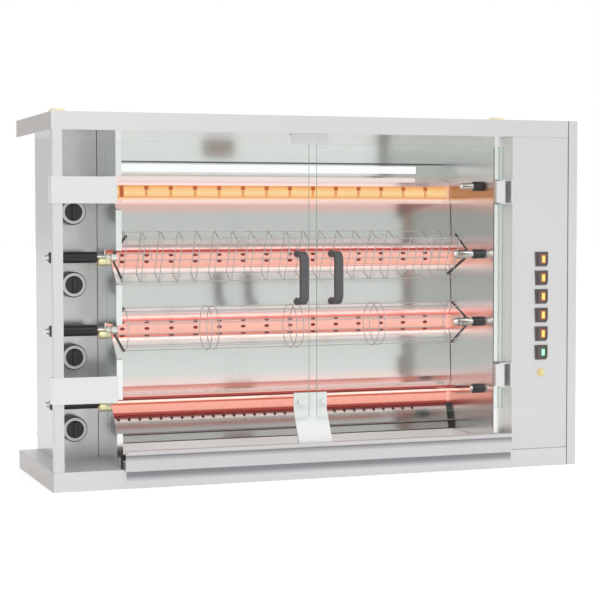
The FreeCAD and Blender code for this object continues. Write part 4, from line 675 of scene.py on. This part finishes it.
def wires(name, paths, closed, body):
    """Round wires, each along a path of its own."""
    curve = bpy.data.curves.new(name, "CURVE")
    curve.dimensions = "3D"
    curve.bevel_depth = WIRE_RADIUS
    curve.bevel_resolution = 2
    curve.use_fill_caps = True
    for path in paths:
        spline = curve.splines.new("POLY")
        spline.points.add(len(path) - 1)
        for point, place in zip(spline.points, path):
            point.co = (*place, 1)
        spline.use_cyclic_u = closed
        spline.use_smooth = True
    thing = bpy.data.objects.new(name, curve)
    bpy.context.scene.collection.objects.link(thing)
    return finish_piece(thing, WIRE, body)


def rounded_loop(half_y, half_z, corner, steps=4):
    """The outline of a rectangle with round corners, as (y, z) places."""
    points = []
    for quarter, (side_y, side_z) in enumerate(((1, 1), (-1, 1), (-1, -1), (1, -1))):
        centre_y = side_y * (half_y - corner)
        centre_z = side_z * (half_z - corner)
        for step in range(steps + 1):
            angle = math.radians(90 * quarter + 90 * step / steps)
            points.append((centre_y + corner * math.cos(angle),
                           centre_z + corner * math.sin(angle)))
    return points


def straps_into(built, rim, hub, in_basket):
    """Adds two flat bars, one on each side of the spit, from (x, radius) to (x, radius)."""
    for side in (-1, 1):
        six_sided_into(built, [
            in_basket(x + shift, across, side * radius)
            for across in (-STRAP_WIDTH / 2, STRAP_WIDTH / 2)
            for (x, radius), shift in ((rim, 0), (hub, 0), (hub, STRAP_GAUGE), (rim, STRAP_GAUGE))])


def basket_straps(name, reach, body, in_basket):
    """The flat bars that hold a basket at both ends."""
    def make(built):
        straps_into(built, (BASKET_START + 0.001, reach), LEFT_HUB, in_basket)
        straps_into(built, (BASKET_END - 0.007, reach), RIGHT_HUB, in_basket)
    thing = mesh_object(name, make)
    soften = thing.modifiers.new("soft_edges", "BEVEL")
    soften.width = 0.0008
    soften.segments = 2
    return finish_piece(thing, STRAP, body)


def flat_basket():
    body = "flat_basket_spit"
    half_y = FLAT_HALF_Y - WIRE_RADIUS
    half_z = FLAT_HALF_Z - WIRE_RADIUS
    length = BASKET_END - BASKET_START - 2 * WIRE_RADIUS
    loops = []
    for number in range(CROSS_WIRES):
        x = BASKET_START + WIRE_RADIUS + number * length / (CROSS_WIRES - 1)
        loops.append([in_flat_basket(x, y, z)
                      for y, z in rounded_loop(half_y, half_z, FLAT_CORNER)])
    cross = wires("flat_basket_cross_wires", loops, True, body)
    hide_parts("flat_basket")
    inset = 2 * WIRE_RADIUS
    middle_wire = 0.0195
    long_ones = [[in_flat_basket(BASKET_START, y, z), in_flat_basket(BASKET_END, y, z)]
                 for y in (-half_y + inset, half_y - inset)
                 for z in (-half_z + inset, -middle_wire, middle_wire, half_z - inset)]
    wires("flat_basket_long_wires", long_ones, False, body)
    basket_straps("flat_basket_straps", 0.0575, body, in_flat_basket)
    clasp = [(0.002, -0.0245, 0.002), (-0.010, -0.0240, 0.052), (-0.009, -0.022, 0.060),
             (-0.006, -0.020, 0.0635), (0.004, -0.020, 0.0640), (0.008, -0.022, 0.060),
             (0.010, -0.0240, 0.052), (0.024, -0.0245, 0.002)]
    clasps = [[in_flat_basket(middle + lean, y, z) for lean, y, z in clasp]
              for middle in (-0.430, -0.053, 0.332)]
    wires("flat_basket_clasps", clasps, False, body)


def round_basket():
    body = "round_basket_spit"
    places = [BASKET_START + WIRE_RADIUS, BASKET_END - WIRE_RADIUS]
    half_gap = 0.009
    for number in range(1, 4):
        middle = BASKET_START + number * (BASKET_END - BASKET_START) / 4
        places += [middle - half_gap, middle + half_gap]
    angles = [2 * math.pi * step / RING_STEPS for step in range(RING_STEPS)]
    loops = [[in_round_basket(x, RING_RADIUS * math.cos(angle), RING_RADIUS * math.sin(angle))
              for angle in angles] for x in places]
    rings = wires("round_basket_rings", loops, True, body)
    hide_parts("round_basket")
    bars = []
    for number in range(BARS):
        angle = math.radians(90 + 360 / BARS * number)
        y = BAR_CIRCLE * math.cos(angle)
        z = BAR_CIRCLE * math.sin(angle)
        bars.append([in_round_basket(BASKET_START, y, z), in_round_basket(BASKET_END, y, z)])
    wires("round_basket_bars", bars, False, body)
    basket_straps("round_basket_straps", 0.0535, body, in_round_basket)


flat_basket()
round_basket()


# Marks on the burners

def oval_discs(name, centres, half_x, half_z, material):
    """Shallow oval studs that stand a little out of the tiles."""
    profile = [(1.0, 0.0), (1.0, -0.0006), (0.75, -0.0011), (0.35, -0.0013)]

    def make(built):
        for centre in centres:
            first = len(built.verts)
            lathe_into(built, profile, (0, 0, 0), 20)
            built.verts.ensure_lookup_table()
            for vertex in built.verts[first:]:
                vertex.co = Vector((centre[0] + vertex.co.x * half_x, centre[1] + vertex.co.y,
                                    centre[2] + vertex.co.z * half_z))
    return finish_piece(mesh_object(name, make), material, "cabinet")


def burner_marks():
    """The joints between the tiles: nubs and stems on the top row, dots on the next two."""
    proud = TILE_FACE + 0.001
    sunk = TILE_FACE - 0.003
    nub_top = 0.7165
    nub_bottom = 0.7065
    nubs = [((TILE_START, sunk, 0.6875), (TILE_START + 0.0085, proud, nub_top))]
    stems = []
    dots = []
    for joint in range(1, TILES_IN_ROW):
        x = TILE_START + joint * TILE_PITCH
        low = 0.6880 if joint == 1 else nub_bottom
        nubs.append(((x - 0.0053, sunk, low), (x + 0.0053, proud, nub_top)))
        stems.append(((x - 0.0036, TILE_FACE - 0.001, 0.6900), (x + 0.0036, proud, nub_bottom)))
        for height in (0.540, 0.5235, 0.3700, 0.3530, 0.3355):
            dots.append((x, TILE_FACE + 0.0002, height))
    blocks("burner_joint_nubs", nubs, 0.0010, NUB, "cabinet")
    blocks("burner_joint_stems", stems, 0.0006, STEM, "cabinet")
    oval_discs("burner_joint_dots", dots, 0.0066, 0.0040, DOT)


burner_marks()


# Controls

def switch_windows():
    """Lit lenses on the right half of each rocker: a bright middle in a darker surround.

    Both halves of a rocker slope back from its middle, and at rest the whole rocker is tilted.
    """
    half_slope = 12
    rest_tilt = 8
    face = 0.0035 * math.cos(math.radians(half_slope))
    behind = -face + 0.001
    surround = [((0.0000, -face - 0.0003, -0.0110), (0.0118, behind, 0.0110))]
    window = [((0.0022, -face - 0.0009, -0.0078), (0.0098, behind, 0.0078))]
    lean = Matrix.Rotation(math.radians(rest_tilt - half_slope), 4, "Z")
    for number in range(1, SWITCHES + 1):
        z = LOWEST_SWITCH_Z + (SWITCHES - number) * SWITCH_PITCH
        turn = Matrix.Translation(Vector((SWITCH_X, SWITCH_FACE, z))) @ lean
        green = number == SWITCHES
        body = "switch_%d" % number
        blocks("rocker_surround_%d" % number, surround, 0.0005,
               RIM_GREEN if green else RIM_ORANGE, body, turn)
        blocks("rocker_window_%d" % number, window, 0.0008,
               WINDOW_GREEN if green else WINDOW_ORANGE, body, turn)


def knob_rings():
    """A flat metal ring on each knob, round the black face."""
    profile = [(0.0213, -0.0003), (0.0213, -0.0011), (0.0216, -0.0014), (0.0282, -0.0014),
               (0.0287, -0.0010), (0.0287, -0.0003)]
    for row in ROWS:
        def make(built, centre=(KNOB_X, KNOB_FACE, KNOB_Z[row])):
            lathe_into(built, profile, centre, 64, closed=True)
        finish_piece(mesh_object("knob_ring_%d" % row, make), RING, "knob_%d" % row)


switch_windows()
knob_rings()


# Screws, hems, dark strips and fillers; the seam strips, the back strip and the shadow plate are
# painted shade

def lower_stop_screws():
    """Low round heads on the plate of the lower door stop."""
    radius = 0.0048
    rise = 0.0022
    profile = [(radius, 0.0), (radius, -rise * 0.4), (radius * 0.8, -rise * 0.85),
               (radius * 0.4, -rise), (0.0004, -rise)]

    def make(built):
        for x in (-0.061, -0.001):
            lathe_into(built, profile, (x, -0.169, 0.1845), 20)
    finish_piece(mesh_object("lower_stop_screws", make), CLAMP, "cabinet")


def back_shade_strip():
    """A dark strip along the turned edge of the back sheet, as painted shade there, seen as a dark
    line above the exhaust slot.
    """
    blocks("back_shade_strip", [((-0.516, 0.2110, 0.7776), (0.479, 0.2131, 0.7822))], 0.0004, SHADE_STRIP,
           "cabinet")


def seam_shade_strips():
    """Dark strips behind the joints of the casing sheets, as painted shade in the gaps."""
    side_cover_joint = ((0.6525, -0.2152, 0.0010), (0.6547, -0.2070, 0.8790))
    column_joint = ((0.4632, -0.1748, 0.0920), (0.4651, -0.1732, 0.8120))
    below_panel = ((0.4975, -0.2144, 0.0456), (0.6520, -0.2070, 0.0466))
    above_panel = ((0.4975, -0.2144, 0.8374), (0.6520, -0.2070, 0.8384))
    blocks("seam_shade_strips", [side_cover_joint, column_joint, below_panel, above_panel], 0.0, SHADE_STRIP,
           "cabinet")


def end_shadow_plate():
    """Fills the gap at the left end of the tray front."""
    blocks("end_shadow_plate", [((-0.5185, -0.2105, 0.0470), (-0.5138, -0.2060, 0.0930))], 0.0,
           BLACK, "cabinet")


def low_sheet_end_black_strip():
    """A black strip that follows the right end of the lowest reflector, just in front of it."""
    left = 0.4690
    right = 0.4795
    thickness = 0.003
    sheet_end = [(0.1090, 0.0662), (0.1250, 0.1212), (0.1350, 0.1322)]

    def make(built):
        for low, high in zip(sheet_end, sheet_end[1:]):
            six_sided_into(built, [(x, y - gap, z) for gap in (thickness, 0) for x, (y, z) in (
                (left, low), (right, low), (right, high), (left, high))])
    finish_piece(mesh_object("low_sheet_end_black_strip", make), BLACK, "cabinet")


def tray_back_hem():
    """The turned edge along the back of the tray, coloured dark brown as painted shade along the
    tray's back rim.
    """
    blocks("tray_back_hem", [((-0.512, 0.1005, 0.0868), (0.486, 0.1028, 0.0898))], 0.0004,
           TRAY_HEM_SHADE, "tray")


lower_stop_screws()
back_shade_strip()
seam_shade_strips()
end_shadow_plate()
low_sheet_end_black_strip()
tray_back_hem()


# Camera, lamp and surroundings

def make_camera():
    """The camera that was fitted to the photo."""
    camera = bpy.data.cameras.new("camera")
    camera.sensor_width = 36
    camera.lens = 102.606
    camera.clip_end = 100
    thing = bpy.data.objects.new("camera", camera)
    thing.location = (-1.4716, -4.1007, 0.6359)
    thing.rotation_euler = [math.radians(angle) for angle in (87.23, 0.06, -19.78)]
    bpy.context.scene.collection.objects.link(thing)
    bpy.context.scene.camera = thing


def make_world():
    """Seen directly it is white; it lights softly, and it is dimmer on the left."""
    world = bpy.data.worlds.new("studio")
    world.use_nodes = True
    tree = world.node_tree
    white = equal(1.0)
    share = share_between(tree, coordinate(tree, "X", "Generated"), -1.0, 1.0)
    tint = color_ramp(tree, share, [(0.30, (0.46, 0.45, 0.44)), (0.52, equal(0.97))])
    ray = tree.nodes.new("ShaderNodeLightPath").outputs
    mirrored = blend(tree, ray["Is Glossy Ray"], tint, blend(tree, 0.5, tint, white))
    direct = calculate(tree, "MAXIMUM", ray["Is Camera Ray"], ray["Is Transmission Ray"])
    feed_all(tree, tree.nodes["Background"], {
        "Color": blend(tree, direct, mirrored, white), "Strength": 1.0})
    bpy.context.scene.world = world


def make_floor():
    """White to the eye wherever no shadow lies on it."""
    material, tree, surface = new_material("studio_floor")
    speck = grain(tree, equal(4.0), 2.0)
    ray = tree.nodes.new("ShaderNodeLightPath").outputs
    shown = calculate(tree, "MAXIMUM", ray["Is Camera Ray"], ray["Is Glossy Ray"])
    seen = calculate(tree, "MAXIMUM", shown, ray["Is Transmission Ray"])
    feed_all(tree, surface, {"Base Color": equal(0.90), "Specular IOR Level": 0.1,
                             "Roughness": spread(tree, speck, 0.88, 0.92),
                             "Emission Color": equal(1.0),
                             "Emission Strength": calculate(tree, "MULTIPLY", seen, 0.42)})

    def make(built):
        bmesh.ops.create_grid(built, x_segments=2, y_segments=2, size=30)
    floor = mesh_object("studio_floor", make)
    floor.location = (0, 0, -0.0005)
    floor.data.materials.append(material)


def make_lamp():
    """A broad soft lamp high in front, on the left."""
    lamp = bpy.data.lights.new("front_lamp", "AREA")
    lamp.shape = "RECTANGLE"
    lamp.size = 2.5
    lamp.size_y = 1.5
    lamp.energy = 45
    place = Vector((-1.5, -3.5, 3.2))
    aim = Vector((0, 0, 0.4))
    thing = bpy.data.objects.new("front_lamp", lamp)
    thing.location = place
    thing.rotation_euler = (aim - place).to_track_quat("-Z", "Y").to_euler()
    bpy.context.scene.collection.objects.link(thing)


make_camera()
make_world()
make_floor()
make_lamp()
bpy.context.scene.view_settings.view_transform = "Standard"
